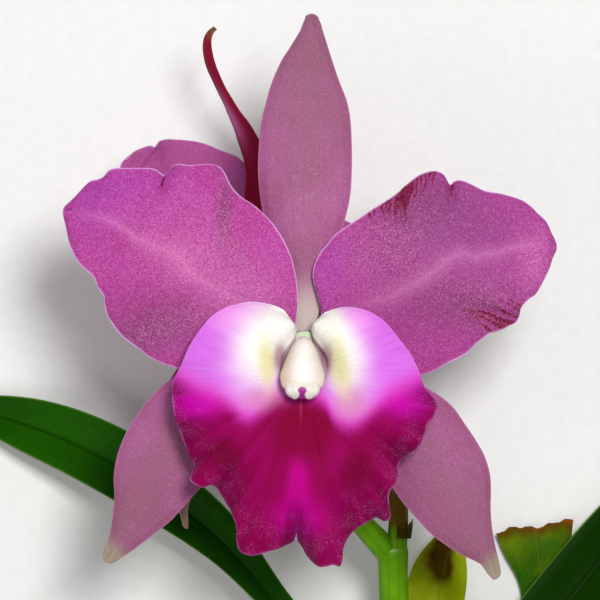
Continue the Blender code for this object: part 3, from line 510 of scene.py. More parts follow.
def lateral_sepal(inner, outer, rows, columns):
    """z falls back in a line and lifts again with u to the fourth at the tip."""
    x, y, u, v = blade(inner, outer, rows, columns)
    z = SEPAL_LAYER - LATERAL_FALL * u + LATERAL_LIFT * u**4 + camber(u, v, LATERAL_CAMBER)
    return np.stack([x, y, z + fine_veins(u, v, *SEPAL_VEINS)], axis=-1), u, v


def sepal_fields(u, v, claw, tip):
    """How pale the claw is, how green the middle is and how hard the tip is."""
    return {
        "claw": ease((claw - u) / claw),
        "green": bell(v, 0.55) * ease(1.15 - 0.8 * np.abs(u - 0.6)),
        "tip": ease((u - 1 + tip) / tip),
        "along": u,
    }


print("a sepal has", SEPAL_GRID[0], "by", SEPAL_GRID[1], "points on each face")

# %% [markdown]
# ## The sepals' skin
#
# Three colours meet on a sepal: mauve, a rosier mauve in clouds, and a last dull trace of the bud's
# green. They could be painted by hand on the mesh. Here slow noise moves the clouds about, the
# stored fields place the green, the claw and the tip, and stretched noise draws the long veins.

# %% Sepal paint
def sepal_paint():
    """Mauve with long veins and a grain, the field colours over it, then glints, rim and back."""
    paint = Paint("sepal_skin", Specular_IOR_Level=0.12, Subsurface_Weight=0.06, Subsurface_Scale=0.0008)
    slow = paint.noise(70.0, 4.0)
    mottle = paint.noise(900.0, 4.0)
    grain = paint.noise(3400.0, 3.0)
    veins = paint.noise(1.0, 4.0, (3.0, 30.0, 1.0))
    outer = paint.step(paint.field("along"), 0.3, 1.0)
    colour = paint.coats(
        (160, 84, 130),
        (slow, (0.35, 0.68), (176, 96, 154)),
        ("green", paint.step(mottle, 0.3, 0.7, 0.25, 0.6), (146, 104, 118)),
        (veins, (0.45, 0.7, 0.0, 0.12), (124, 56, 92)),
        (grain, (0.3, 0.7, 0.6, 0.0), (120, 56, 88)),
        (mottle, (0.5, 0.75, 0.0, 0.25), (186, 118, 156)),
        (outer, paint.step(mottle, 0.3, 0.6, 0.3, 0.7), (122, 80, 92)),
        ("claw", (0.15, 1.0, 0.0, 0.8), (196, 190, 176)),
        ("tip", (0.0, 1.0, 0.0, 0.75), (150, 146, 116)),
        (paint.sparkle(SKIN_CELLS, 0.2), 0.3, (226, 184, 212)),
        ("rim", (0.3, 1.0, 0.0, 0.3), (200, 136, 180)),
        ("back", (0.0, 1.0, 0.0, 0.35), (156, 112, 108)),
    )
    height = paint.plus(paint.times(paint.cells(SKIN_CELLS), -0.6), paint.times(veins, 0.5))
    return paint.finish(colour, paint.step(grain, 0.2, 0.8, 0.5, 0.65), height, 0.00009)


SKINS["sepal"] = sepal_paint()
print("made", SKINS["sepal"].name)

# %% The front bloom's three sepals
LATERALS = {
    "left": (LEFT_SEPAL_INNER, LEFT_SEPAL_OUTER),
    "right": (RIGHT_SEPAL_INNER, RIGHT_SEPAL_OUTER),
}
sheet = dorsal_sepal(*SEPAL_GRID)
add_sheet("dorsal_sepal", sheet, sepal_fields(*sheet[1:], 0.28, 0.004), "sepal")
for side, edges in LATERALS.items():
    sheet = lateral_sepal(*edges, *SEPAL_GRID)
    add_sheet(side + "_lateral_sepal", sheet, sepal_fields(*sheet[1:], 0.2, 0.11), "sepal")

# %% [markdown]
# ## Petals
#
# The two petals are wider and softer than the sepals. Each one arches towards the viewer, then falls
# back to its tip, and its margin has grown a little longer than it has room for, so it ripples. The
# deep furrows run in from notches in the margin. A cloth simulation would ripple too, but a sum of
# sines keeps every wave where the real petal has it.

# %% Edges of the petals
PETAL_LAYER = 1.2
PETAL_GRID = (190, 95)
LEFT_PETAL_UPPER = [
    (-3.19, 3.18), (-2.0, 6.5), (-1.6, 10.0), (-1.7, 13.8), (-2.1, 17.5), (-3.0, 21.2),
    (-4.5, 25.0), (-6.8, 29.0), (-9.5, 32.2), (-12.5, 34.9), (-15.8, 37.1), (-18.2, 39.8),
    (-19.8, 43.0), (-21.2, 44.6), (-23.5, 45.2), (-28.5, 44.9), (-31.0, 45.2),
    (-32.8, 44.8), (-34.0, 43.4), (-34.9, 42.4), (-36.0, 43.1), (-37.2, 43.9),
    (-39.2, 44.2), (-44.2, 44.2), (-46.5, 44.2), (-48.5, 43.8), (-50.0, 42.2),
    (-51.5, 41.5), (-53.5, 41.0), (-55.5, 39.2), (-57.5, 37.0), (-59.4, 34.8),
]
LEFT_PETAL_LOWER = [
    (-4.35, -1.16), (-8.0, -1.6), (-13.5, -2.9), (-19.8, -4.8), (-26.0, -6.0),
    (-30.8, -5.9), (-36.0, -4.2), (-39.0, -2.6), (-42.2, -0.2), (-45.2, 2.0),
    (-47.5, 4.8), (-49.0, 7.2), (-49.8, 9.8), (-50.0, 12.0), (-51.5, 14.5), (-52.4, 16.8),
    (-54.2, 18.5), (-56.2, 20.5), (-58.0, 23.5), (-59.1, 26.8), (-59.8, 30.2),
    (-59.8, 32.4),
]
RIGHT_PETAL_UPPER = [
    (3.19, 3.18), (3.8, 5.8), (4.4, 8.2), (4.0, 10.5), (3.4, 12.5), (2.6, 15.2),
    (2.2, 17.8), (2.8, 20.5), (4.0, 23.0), (5.8, 25.2), (8.0, 27.8), (12.8, 31.0),
    (17.5, 34.2), (22.0, 37.0), (25.8, 40.2), (27.8, 41.9), (30.0, 43.0), (32.5, 43.5),
    (34.5, 42.8), (35.5, 41.5), (36.2, 40.3), (36.9, 40.2), (37.5, 40.9), (39.0, 41.2),
    (41.0, 40.5), (45.0, 38.6), (49.2, 37.9), (54.0, 36.5), (56.5, 35.0), (58.5, 33.0),
    (60.2, 31.5), (61.2, 30.0), (61.7, 28.5), (62.4, 26.4),
]
RIGHT_PETAL_LOWER = [
    (4.35, -1.16), (7.8, -1.4), (12.8, -2.2), (18.5, -4.2), (24.0, -6.4), (29.0, -7.4),
    (32.0, -6.5), (35.2, -4.8), (38.5, -3.2), (40.8, -1.8), (42.5, 0.0), (44.8, 1.8),
    (46.5, 2.9), (48.8, 3.6), (51.0, 4.5), (53.0, 5.6), (53.8, 7.2), (54.2, 9.2),
    (55.8, 11.0), (57.8, 12.5), (59.2, 14.5), (60.5, 17.0), (61.5, 19.2), (62.2, 21.6),
    (62.6, 23.6),
]
print("petal edges:", len(LEFT_PETAL_UPPER), "and", len(RIGHT_PETAL_UPPER), "points on the upper sides")

# %% Furrows and coloured patches of the petals
LEFT_FURROWS = [
    ((-34.9, 42.4), (-38.0, 31.0), 1.8, 1.6), ((-20.2, 43.5), (-22.5, 22.0), 2.4, 1.8),
    ((-50.0, 12.0), (-38.0, 14.0), 2.6, 1.2),
]
RIGHT_FURROWS = [
    ((23.6, 38.6), (25.0, 25.0), 1.6, 1.8), ((19.6, 35.4), (21.0, 26.0), 1.2, 1.1),
    ((36.6, 40.2), (37.0, 29.0), 1.4, 1.5), ((52.5, 4.6), (33.0, 11.5), 2.6, 3.2),
    ((24.4, 39.5), (24.8, 24.0), 0.7, 0.7), ((20.6, 36.4), (20.8, 29.0), 0.6, 0.5),
    ((17.0, 34.0), (17.2, 28.5), 0.6, 0.4), ((28.6, 42.0), (28.0, 30.0), 0.7, 0.4),
    ((46.0, 9.4), (30.0, 14.0), 0.9, 0.6), ((57.0, 12.0), (44.0, 14.0), 0.8, 0.5),
]
LEFT_PATCHES = {
    "dull": [((-38.0, 6.0), (14.0, 7.0), 20.0), ((-20.0, 33.0), (1.8, 8.0), -4.0)],
    "glint": [
        ((-20.0, 33.0), (2.6, 10.0), -4.0), ((-15.0, 20.0), (2.6, 9.0), 30.0),
        ((-36.0, 4.0), (14.0, 5.0), 20.0),
    ],
    "violet": [((-52.0, 36.0), (9.0, 9.0)), ((-42.0, 42.0), (12.0, 5.0))],
    "pale": [((-13.0, 10.0), (10.0, 8.0)), ((-28.0, 22.0), (10.0, 8.0))],
    "shaded": [((-36.0, 2.0), (14.0, 5.0), 10.0)],
}
RIGHT_PATCHES = {
    "dull": [((38.0, 9.0), (16.0, 6.5), -12.0), ((28.0, 36.0), (11.0, 7.0))],
    "glint": [((22.0, 25.0), (13.0, 9.0), 30.0), ((44.0, 11.0), (12.0, 6.0), -12.0)],
    "violet": [((6.5, 19.5), (4.5, 9.0))],
    "pale": [((58.0, 20.0), (5.0, 9.0))],
    "shaded": [((36.0, 22.0), (36.0, 24.0)), ((34.0, 34.0), (16.0, 9.0), -20.0)],
}
# How strongly each kind of patch colours the petal, and its colour. Only the rear petals are deep.
PATCH_PAINTS = {
    "shaded": (0.75, (136, 66, 130)),
    "dull": (0.85, (104, 48, 84)),
    "glint": (0.4, (140, 70, 112)),
    "violet": (0.7, (170, 62, 172)),
    "pale": (0.6, (222, 128, 190)),
    "deep": (0.85, (150, 16, 108)),
}


def fan(starts, ends, count, width):
    """Fold lines side by side, from places along one line to places along another. Every second one
    is short, as real creases fade out at different depths."""
    share = np.linspace(0.0, 1.0, count)[:, None]
    near = np.array(starts[0]) * (1 - share) + np.array(starts[1]) * share
    far = np.array(ends[0]) * (1 - share) + np.array(ends[1]) * share
    far[1::2] = 0.45 * near[1::2] + 0.55 * far[1::2]
    return [(tuple(a), tuple(b), width) for a, b in zip(near, far)]


# Lines along which the folds get their crimson painted shade, each from start to end with a width.
LEFT_FOLDS = [((-34.9, 42.4), (-36.5, 37.0), 0.3)]
RIGHT_FOLDS = [
    ((36.6, 40.2), (36.8, 35.0), 0.4),
    *fan(((23.2, 38.2), (26.8, 40.8)), ((22.2, 23.5), (24.8, 27.0)), 5, 0.34),
    *fan(((19.8, 35.4), (21.8, 36.9)), ((20.0, 27.5), (21.6, 29.5)), 3, 0.3),
    *fan(((16.4, 33.3), (17.6, 34.1)), ((16.8, 28.0), (17.8, 29.0)), 2, 0.26),
    *fan(((28.0, 41.9), (33.0, 43.2)), ((27.0, 33.5), (30.5, 37.0)), 5, 0.24),
    ((53.8, 5.6), (31.5, 11.2), 0.36), ((49.5, 4.4), (36.5, 9.6), 0.42),
    ((46.8, 3.3), (42.2, 5.6), 0.3), ((52.4, 4.8), (43.0, 8.4), 0.4),
    ((54.0, 6.8), (43.5, 12.2), 0.3), ((51.0, 4.6), (38.0, 7.6), 0.26),
    ((54.3, 8.2), (46.5, 13.8), 0.26), ((54.4, 9.6), (49.0, 13.6), 0.22),
]
print("folds with a crimson line:", len(LEFT_FOLDS) + len(RIGHT_FOLDS))

# %% The petals as surfaces
PETAL_ARCH, PETAL_FALL, PETAL_CAMBER = 2.6, 3.0, 1.2
SLOW_RIPPLE, QUICK_RIPPLE = 0.55, 0.13
MIDRIB_DEPTH = 0.1
PETAL_VEINS = (26.0, 0.06)


def petal(lower, upper, rows, columns, phase, furrows):
    """z arches with the sine of u and falls back with u squared. Slow and quick sines of u ripple
    it, more and more towards both margins. Each furrow and the midrib sink it along a line."""
    x, y, u, v = blade(lower, upper, rows, columns)
    free = ease(3 * u) * ease(8 * (1 - u))
    slow = np.sin(17.0 * u + phase) + 0.5 * np.sin(31.0 * u + 2.0 * phase)
    quick = np.sin(71.0 * u + 3.0 * phase) + 0.7 * np.sin(113.0 * u + phase)
    z = PETAL_LAYER + PETAL_ARCH * np.sin(math.pi * u) - PETAL_FALL * u**2 + camber(u, v, PETAL_CAMBER)
    z = z + free * (SLOW_RIPPLE * slow * np.abs(v) ** 3 + QUICK_RIPPLE * quick * np.abs(v) ** 9)
    for start, end, width, depth in furrows:
        z = z - depth * furrow_strength(x, y, start, end, width) * ease(8 * (1 - u))
    z = z - MIDRIB_DEPTH * bell(v, 0.045) * ease(6 * u) * ease(2 * (1 - u))
    return np.stack([x, y, z + fine_veins(u, v, *PETAL_VEINS)], axis=-1), u, v


def petal_fields(flat, u, v, ovals, folds):
    """The midrib's streak, the crimson lines of painted shade in the folds, and the soft coloured patches.
    """
    x, y = flat[..., 0], flat[..., 1]
    streak = 0.4 * bell(v, 0.03) + 0.6 * bell(v, 0.12)
    fields = {"midrib": streak * ease(2 * u) * ease(4 * (1 - u))}
    bent = (x + 0.35 * np.sin(0.6 * y) + 0.15 * np.sin(1.7 * y + x), y + 0.4 * np.sin(0.5 * x + 1.0))
    lines = [np.zeros_like(x)] + [furrow_strength(*bent, *fold) for fold in folds]
    fields["fold"] = np.clip(1.8 * np.maximum.reduce(lines), 0, 1)
    return fields | {name: patches(x, y, ovals.get(name, [])) for name in PATCH_PAINTS}


print("a petal has", PETAL_GRID[0], "by", PETAL_GRID[1], "points on each face")

# %% [markdown]
# ## The petals' skin
#
# Magenta lies over the whole petal like a wash on frosted glass: thinner where the light catches
# the domed cells, whose bright tops are painted glints, deeper in the folds, where the crimson is
# painted shade, and gone at the very rim, which is a pale lavender line. One flat magenta would look
# like plastic. Several noises at different sizes give the wash its clouds, and painted glints on
# bright single cells stand for the petal's frosted look.

# %% Petal paint
def petal_paint():
    """Magenta with veins, the patches, grain and midrib over it, painted shade in the folds, then painted
    glints, rim and back.
    """
    paint = Paint("petal_skin", Specular_IOR_Level=0.12, Subsurface_Weight=0.06, Subsurface_Scale=0.0008)
    slow = paint.noise(70.0, 4.0)
    mottle = paint.noise(1500.0, 5.0)
    grain = paint.noise(3400.0, 4.0)
    veins = paint.noise(1.0, 4.0, (5.0, 40.0, 1.0))
    uneven = paint.step(mottle, 0.3, 0.7, 0.6, 1.1)
    washes = [
        (paint.times(paint.field(name), share), uneven, over)
        for name, (share, over) in PATCH_PAINTS.items()
    ]
    crease_shade = paint.plus(paint.field("fold"), paint.swing(paint.noise(900.0, 5.0), 1.1))
    frost_glints = paint.times(paint.sparkle(0.9 * SKIN_CELLS, 0.55), paint.field("glint"))
    rim = paint.times(paint.step(paint.field("rim"), 0.25, 0.9), paint.step(slow, 0.3, 0.65, 0.3, 0.9))
    colour = paint.coats(
        (182, 62, 148),
        (slow, (0.35, 0.68), (192, 80, 168)),
        (veins, (0.42, 0.72, 0.0, 0.2), (152, 34, 116)),
        *washes,
        (grain, (0.34, 0.68, 0.8, 0.0), (128, 32, 98)),
        (mottle, (0.45, 0.72, 0.0, 0.22), (216, 124, 190)),
        ("midrib", 0.26, (226, 146, 196)),
        # Crimson painted shade in the folds.
        (crease_shade, (0.2, 0.8, 0.0, 0.92), (112, 0, 44)),
        # Painted glints on single cells, and more of them in the frosted zones.
        (paint.sparkle(SKIN_CELLS, 0.25), 0.45, (240, 172, 224)),
        (frost_glints, 0.75, (216, 180, 190)),
        (rim, 1.0, (214, 176, 230)),
        ("back", (0.0, 1.0, 0.0, 0.4), (180, 104, 158)),
    )
    height = paint.plus(paint.times(paint.cells(SKIN_CELLS), -0.7), paint.times(mottle, 1.6))
    return paint.finish(colour, paint.step(grain, 0.2, 0.8, 0.5, 0.68), height, 0.00012)


SKINS["petal"] = petal_paint()
print("made", SKINS["petal"].name)

# %% The front bloom's two petals
for side, lower, upper, phase, furrows, ovals, folds in (
    ("left", LEFT_PETAL_LOWER, LEFT_PETAL_UPPER, 0.6, LEFT_FURROWS, LEFT_PATCHES, LEFT_FOLDS),
    ("right", RIGHT_PETAL_LOWER, RIGHT_PETAL_UPPER, 2.3, RIGHT_FURROWS, RIGHT_PATCHES, RIGHT_FOLDS),
):
    sheet = petal(lower, upper, *PETAL_GRID, phase, furrows)
    add_sheet(side + "_petal", sheet, petal_fields(*sheet, ovals, folds), "petal")

# %% [markdown]
# ## The lip
#
# The third petal grew into the lip. It starts at the column's foot, wraps the column as a throat,
# opens into two side lobes and runs out into the ruffled front. It is one sheet, so it is one
# surface: a fan of veins, each from a ring round the column, up the throat's wall, over the mouth
# and the crest, and out to the margin. Two separate lobes glued to a front would show their joints.

# %% The lip's margin and throat
LIP_GRID = (5, 84)
LIP_MARGIN = [
    (-5.0, 8.8), (-7.2, 9.8), (-10.5, 10.6), (-13.5, 10.8),
    (-16.8, 10.2), (-19.8, 9.2), (-22.8, 7.2), (-25.2, 4.5), (-27.0, 2.0), (-28.8, -1.2),
    (-30.0, -4.2), (-31.2, -6.6), (-32.3, -8.8), (-32.5, -12.0), (-31.8, -17.5),
    (-30.6, -21.2), (-29.2, -25.0), (-27.8, -28.0), (-27.0, -29.6), (-27.5, -31.2),
    (-28.0, -33.0), (-26.6, -34.2), (-24.8, -34.8), (-23.2, -34.2), (-22.0, -34.6),
    (-20.5, -36.8), (-19.0, -39.2), (-17.5, -42.0), (-16.6, -44.8), (-16.6, -48.0),
    (-15.8, -50.6), (-12.8, -51.7), (-9.8, -51.0), (-6.5, -50.0), (-4.0, -49.2),
    (-2.0, -48.5), (-0.6, -49.6), (0.8, -52.0), (2.3, -53.5), (3.8, -54.4), (5.6, -54.2),
    (7.2, -53.8), (8.8, -54.2), (9.5, -52.2), (9.6, -50.0), (10.6, -47.6), (13.2, -45.0),
    (15.8, -43.5), (17.8, -42.4), (19.8, -43.3), (21.2, -42.6), (21.2, -40.8),
    (20.8, -38.2), (21.0, -36.0), (22.2, -33.8), (23.0, -31.8), (22.9, -30.2),
    (23.6, -28.6), (25.2, -27.2), (27.2, -26.0), (28.6, -24.2), (29.4, -22.0),
    (30.4, -19.5), (31.8, -17.4), (32.8, -15.4), (32.4, -13.6), (31.0, -11.8),
    (29.6, -10.0), (28.8, -7.8), (27.9, -5.4), (26.5, -2.5), (24.8, 0.0), (23.0, 2.2),
    (21.2, 4.5), (19.2, 6.5), (16.5, 8.2), (14.0, 9.1), (10.8, 9.5), (7.8, 9.1), (5.2, 8.2),
]
LIP_INNER_LEFT = [(-2.1, 2.5), (-2.0, 4.0), (-3.0, 6.0)]
LIP_INNER_RIGHT = [(2.2, 2.5), (1.9, 4.0), (2.8, 6.0)]
THROAT = np.array([0.0, -6.75])
THROAT_HALF_SIZES = (7.6, 8.6)
print("the lip's margin has", len(LIP_MARGIN), "points")

# %% The veins of the lip
SEAT_HEIGHT, MOUTH_HEIGHT, CREST_HEIGHT, MARGIN_HEIGHT = 3.7, 9.0, 13.2, 9.5
SEAT_RADIUS = 2.7
SEAT_HALF_TURN = math.radians(122.0)
DOWNWARDS = 1.5 * math.pi


def vein_headings(edge):
    """Each vein's heading from the throat's middle, and off: -1 at the left corner, 1 at the right."""
    reach = edge - THROAT
    heading = np.unwrap(np.arctan2(reach[:, 1], reach[:, 0]))
    heading += 2 * math.pi * round((DOWNWARDS - heading.mean()) / (2 * math.pi))
    return heading, (heading - DOWNWARDS) / (heading[-1] - DOWNWARDS)


def at_height(flat, height):
    """Flat places with their height as a third column."""
    return np.hstack([flat, np.broadcast_to(height, (len(flat), 1))])


def vein_knots(edge, heading, off):
    """Five knots for each vein: its seat on a ring round the column, the middle of the wall, the
    oval mouth, the crest, and the margin. Near the corners they move to the lobes' inner edges."""
    down = (1 - ease(np.abs(off) * 1.15))[:, None]
    inner = ease((np.abs(off) - 0.72) / 0.28)[:, None]
    seat = DOWNWARDS + off * SEAT_HALF_TURN
    base = SEAT_RADIUS * np.stack([np.cos(seat), np.sin(seat)], axis=1) + np.array([0.0, -0.3])
    oval = THROAT + np.stack([np.cos(heading), np.sin(heading)], axis=1) * THROAT_HALF_SIZES
    left = (off < 0)[:, None]
    sides = zip(LIP_INNER_LEFT, LIP_INNER_RIGHT)
    inner_wall, inner_mouth, inner_crest = (np.where(left, near, far) for near, far in sides)
    mouth = oval * (1 - inner) + inner_mouth * inner
    wall = (base + 0.6 * (mouth - base)) * (1 - inner) + inner_wall * inner
    crest = (mouth + (edge - mouth) * (0.42 + 0.06 * down)) * (1 - inner) + inner_crest * inner
    rise = MOUTH_HEIGHT + 1.2 * down - 4.1 * inner
    return np.stack([
        at_height(base, SEAT_HEIGHT),
        at_height(wall, SEAT_HEIGHT + 0.55 * (rise - SEAT_HEIGHT)),
        at_height(mouth, rise),
        at_height(crest, CREST_HEIGHT - 0.4 * down - 7.4 * inner),
        at_height(edge, MARGIN_HEIGHT - 1.0 * down - 3.3 * inner),
    ])


print("off, for three points round the throat:", vein_headings(np.array([(-9, 0), (0, -30), (9, 0)]))[1])

# %% The lip as a surface
RUFFLE_HEIGHT, CRIMP_HEIGHT, KEEL_HEIGHT, NOTCH_DEPTH = 1.5, 0.34, 1.8, 2.0


def ruffle(heading):
    """Slow waves round the margin: two sines of the heading."""
    return np.sin(13.0 * heading + 0.8) + 0.6 * np.sin(22.0 * heading + 2.0)


def crimp(heading):
    """Quick waves round the margin: two sines of the heading."""
    return np.sin(47.0 * heading + 1.0) + 0.7 * np.sin(83.0 * heading)


def lip(steps, rings):
    """Smooth lines through the knots of each vein. Beyond the mouth, sines of the heading ruffle the
    surface with the fourth power of the way out, a keel rises along the middle of the front, and a
    furrow runs in from the notch at its end."""
    edge = smooth_line(LIP_MARGIN, steps)
    heading, off = vein_headings(edge)
    knots = vein_knots(edge, heading, off)
    even = np.linspace(0.0, 1.0, rings)
    places = 4 * (0.45 * even + 0.55 * np.sin(even * math.pi / 2))
    fine = smooth_line(knots.reshape(len(knots), -1), ROUTE_STEPS)
    own = np.arange(len(fine)) / ROUTE_STEPS
    flat = np.stack([np.interp(places, own, fine[:, k]) for k in range(fine.shape[1])], axis=1)
    grid = flat.reshape(len(places), len(edge), 3)
    x, y, z = grid[..., 0], grid[..., 1], grid[..., 2]
    share = np.clip((places[:, None] - 2) / 2, 0, 1)
    loose = ease(2.6 * (0.62 - np.abs(off)))
    keel = bell(x + 1.2, 5.0) * ease((-18 - y) / 10) * ease((y + 50) / 14)
    z += (
        RUFFLE_HEIGHT * ruffle(heading) * share**4 * loose
        + CRIMP_HEIGHT * crimp(heading) * share**5 * loose
        + KEEL_HEIGHT * keel * share
    )
    z -= NOTCH_DEPTH * furrow_strength(x, y, (-2.0, -48.5), (-1.5, -36.0), 1.8) * share
    z += 0.02 * np.cos(170.0 * off) * ease(2 * share)
    u = np.broadcast_to(places[:, None] / 4, x.shape)
    return grid, u, np.broadcast_to(off[None, :], x.shape)


print("a vein of the lip runs over", LIP_GRID[1], "points")

# %% [markdown]
# ## Where the lip's colours are
#
# Insects land on the lip, so it is painted as a runway: white and cream side lobes with a lavender
# border, yellow bands down both sides of the throat, then velvety crimson-magenta with a brighter
# line along the middle. Each region is a soft oval or line on the surface, named and placed here in
# the bloom's own millimetres. The veins break its edge up later, in the paint.

# %% Regions of the lip
# Three regions are painted shade: the shade on the throat's wall beside the column, the deepest crimson
# below the column's tip, and the front's two hollows.
LIP_REGIONS = {
    "white": [
        ((-10.0, 0.0), (8.4, 12.0), -12.0), ((8.8, -1.5), (6.4, 12.0), 17.0),
        ((-5.0, 6.0), (3.0, 4.5)), ((5.0, 5.5), (3.0, 4.5)),
    ],
    "yellow": [((-9.4, -4.0), (2.2, 7.5), 4.0), ((8.9, -5.0), (2.8, 8.5), 9.0)],
    "shade": [((-6.1, -3.0), (1.9, 4.2)), ((5.6, -3.0), (2.0, 4.2))],
    "column_shadow": [((0.0, -17.5), (9.0, 6.0)), ((-0.5, -24.0), (7.5, 5.5))],
    "hollow_shade": [((-18.9, -27.0), (4.2, 5.5), 20.0), ((12.5, -30.9), (4.6, 6.2), -15.0)],
    "midline": [((-1.5, -33.0), (2.6, 9.5)), ((-1.5, -42.5), (7.5, 5.5))],
    "cheek": [((-26.0, -13.5), (6.5, 5.0)), ((25.0, -12.0), (7.0, 6.0))],
    "rosy": [((-16.0, 8.0), (9.0, 4.5), 12.0), ((12.0, 6.5), (6.0, 4.0), -20.0)],
    "dusk": [((11.5, -14.0), (5.0, 4.5), 40.0), ((-9.5, -13.5), (6.5, 3.5), -10.0)],
}
# Below this line, as (x, y), the pale side lobes have turned to magenta.
LIP_TIDE = [
    (-33.0, -7.0), (-26.2, -11.1), (-19.4, -13.8), (-14.2, -17.7), (-10.1, -15.7), (-6.1, -13.0),
    (0.0, -12.0), (5.1, -14.2), (7.3, -17.7), (10.5, -19.6), (14.0, -18.4), (20.6, -13.0),
    (27.2, -9.6), (33.0, -8.0),
]
LIP_LAST_HEADING = float(vein_headings(np.array(LIP_MARGIN))[0][-1])


def pleats(v):
    """The ruffles' own heights again, from v alone: above 0 on a crest and below 0 in a valley."""
    heading = DOWNWARDS + v * (LIP_LAST_HEADING - DOWNWARDS)
    return ruffle(heading) + 0.45 * crimp(heading)


def lip_fields(grid, u, v):
    """The regions, the way from the lavender lobes down to the magenta front, and the grainy
    border of the front."""
    x, y = grid[..., 0], grid[..., 1]
    below = profile(LIP_TIDE, x) - y
    return {name: np.clip(patches(x, y, ovals), 0, 1) for name, ovals in LIP_REGIONS.items()} | {
        "front": ease(below / 9.0 + 0.45),
        "blush": ease(below / 18.0 + 0.75),
        "border": ease((u - 0.78) / 0.22),
        "notch": furrow_strength(x, y, (-2.0, -48.5), (-1.8, -44.5), 0.6),
        "thread": furrow_strength(x, y, (-0.7, -12.0), (-0.8, -21.0), 0.3),
        # pleat is high on the ruffles' crests and low in their valleys, where the paint lays painted shade.
        "pleat": 0.5 + 0.5 * np.tanh(1.5 * pleats(v)) * ease((u - 0.7) / 0.3),
    }


print("regions:", ", ".join(LIP_REGIONS))

# %% Lip paint
def lip_paint():
    """The lobes and the front are mixed apart, with their regions' edges broken up along the veins,
    and then joined where the front begins. The grainy border with its painted glints, the rim and
    the back come last."""
    paint = Paint("lip_skin", Specular_IOR_Level=0.04, Subsurface_Weight=0.06, Subsurface_Scale=0.0008)
    veins = paint.noise(1.0, 3.0, (2.5, 110.0, 1.0))
    wide = paint.noise(1.0, 3.0, (3.0, 22.0, 1.0))
    mottle = paint.noise(900.0, 4.0)
    grain = paint.noise(3400.0, 4.0)
    broken = paint.swing(paint.plus(paint.times(veins, 0.35), paint.times(wide, 0.65)), 0.36)
    regions = (*LIP_REGIONS, "front", "blush")
    edges = {name: paint.plus(paint.field(name), broken) for name in regions}
    unturned = paint.step(paint.field("front"), 0.1, 0.8, 1.0, 0.0)
    specks = paint.times(paint.step(grain, 0.3, 0.7), paint.step(veins, 0.45, 0.7, 0.1, 0.3))
    lobes = paint.coats(
        (206, 106, 218),
        (veins, (0.4, 0.75, 0.0, 0.4), (172, 62, 186)),
        (edges["rosy"], (0.1, 0.9, 0.0, 0.8), (230, 140, 226)),
        (edges["blush"], (0.35, 1.0), (206, 34, 176)),
        (paint.step(edges["white"], 0.02, 1.05), unturned, (240, 241, 230)),
        (edges["dusk"], (0.1, 0.95, 0.0, 0.65), (196, 122, 156)),
        (edges["yellow"], (0.05, 1.0, 0.0, 0.75), (218, 216, 136)),
        (edges["shade"], (0.05, 0.95, 0.0, 0.75), (140, 82, 92)),
        (specks, 1.0, (186, 120, 186)),
    )
    front = paint.coats(
        (148, 0, 84),
        (wide, (0.3, 0.7), (134, 0, 66)),
        (edges["cheek"], (0.05, 0.9, 0.0, 0.9), (204, 4, 172)),
        (edges["midline"], (0.05, 0.95, 0.0, 0.85), (190, 0, 136)),
        # Painted shadow below the column's tip, and painted shade in the two hollows.
        (edges["column_shadow"], (0.0, 1.3, 0.0, 0.95), (122, 0, 36)),
        (edges["hollow_shade"], (0.05, 0.95, 0.0, 0.85), (108, 0, 40)),
        # The front's own deep border colour, laid on more in the ruffles' valleys as painted shade.
        ("border", paint.step(paint.field("pleat"), 0.2, 0.8, 0.65, 0.25), (90, 2, 50)),
        (grain, (0.3, 0.7, 0.3, 0.0), (92, 0, 60)),
    )
    clumps = paint.step(paint.noise(260.0, 4.0), 0.38, 0.6)
    border_glints = paint.times(paint.sparkle(1.1 * SKIN_CELLS, 0.8), paint.field("border"), clumps)
    rim = paint.times(paint.step(paint.field("rim"), 0.2, 0.9), paint.step(wide, 0.35, 0.65, 0.0, 0.6))
    edging = paint.coats((206, 120, 200), ("white", 1.0, (244, 238, 240)))
    colour = paint.coats(
        lobes,
        (edges["front"], (0.0, 1.0), front),
        ("thread", 0.3, (206, 90, 130)),
        # Painted glints on the grainy border.
        (paint.times(border_glints, paint.field("front")), 0.5, (206, 130, 190)),
        (rim, 1.0, edging),
        ("notch", (0.2, 0.9, 0.0, 0.8), (190, 170, 224)),
        ("back", (0.0, 1.0, 0.0, 0.35), (186, 108, 176)),
    )
    height = paint.plus(paint.times(paint.cells(SKIN_CELLS), -0.7), paint.times(veins, 0.5))
    return paint.finish(colour, paint.step(grain, 0.2, 0.8, 0.5, 0.7), height, 0.00013)


SKINS["lip"] = lip_paint()
sheet = lip(*LIP_GRID)
add_sheet("lip", sheet, lip_fields(*sheet), "lip")

# %% [markdown]
# ## Column and anther cap
#
# In an orchid the stamens and the style have grown into one waxy column. It leans over the throat
# with a ridge along its back and a thin wing down each side, and carries the anther cap at its end.
# A stretched sphere would do from afar. Oval rings along a bent route let the width, the depth and
# the wings each follow their own line.

# %% Rings of the column
COLUMN_ROUTE = [(0.0, -0.3, 3.3), (-0.2, -2.2, 8.0), (-0.4, -6.0, 12.0), (-0.4, -10.0, 15.0)]
COLUMN_WIDTHS = [
    (0.0, 1.7), (0.12, 2.5), (0.25, 3.3), (0.4, 4.0), (0.6, 4.8), (0.8, 5.45), (0.92, 5.2),
    (0.97, 5.0), (1.0, 4.7),
]
COLUMN_DEPTHS = [
    (0.0, 2.0), (0.12, 3.1), (0.25, 3.7), (0.4, 3.8), (0.6, 3.5), (0.84, 3.3), (0.92, 3.1),
    (1.0, 2.6),
]
COLUMN_END = np.array([0.0, -0.66, 0.75]) / math.hypot(0.66, 0.75)
ACROSS = np.array([1.0, 0.0, 0.0])


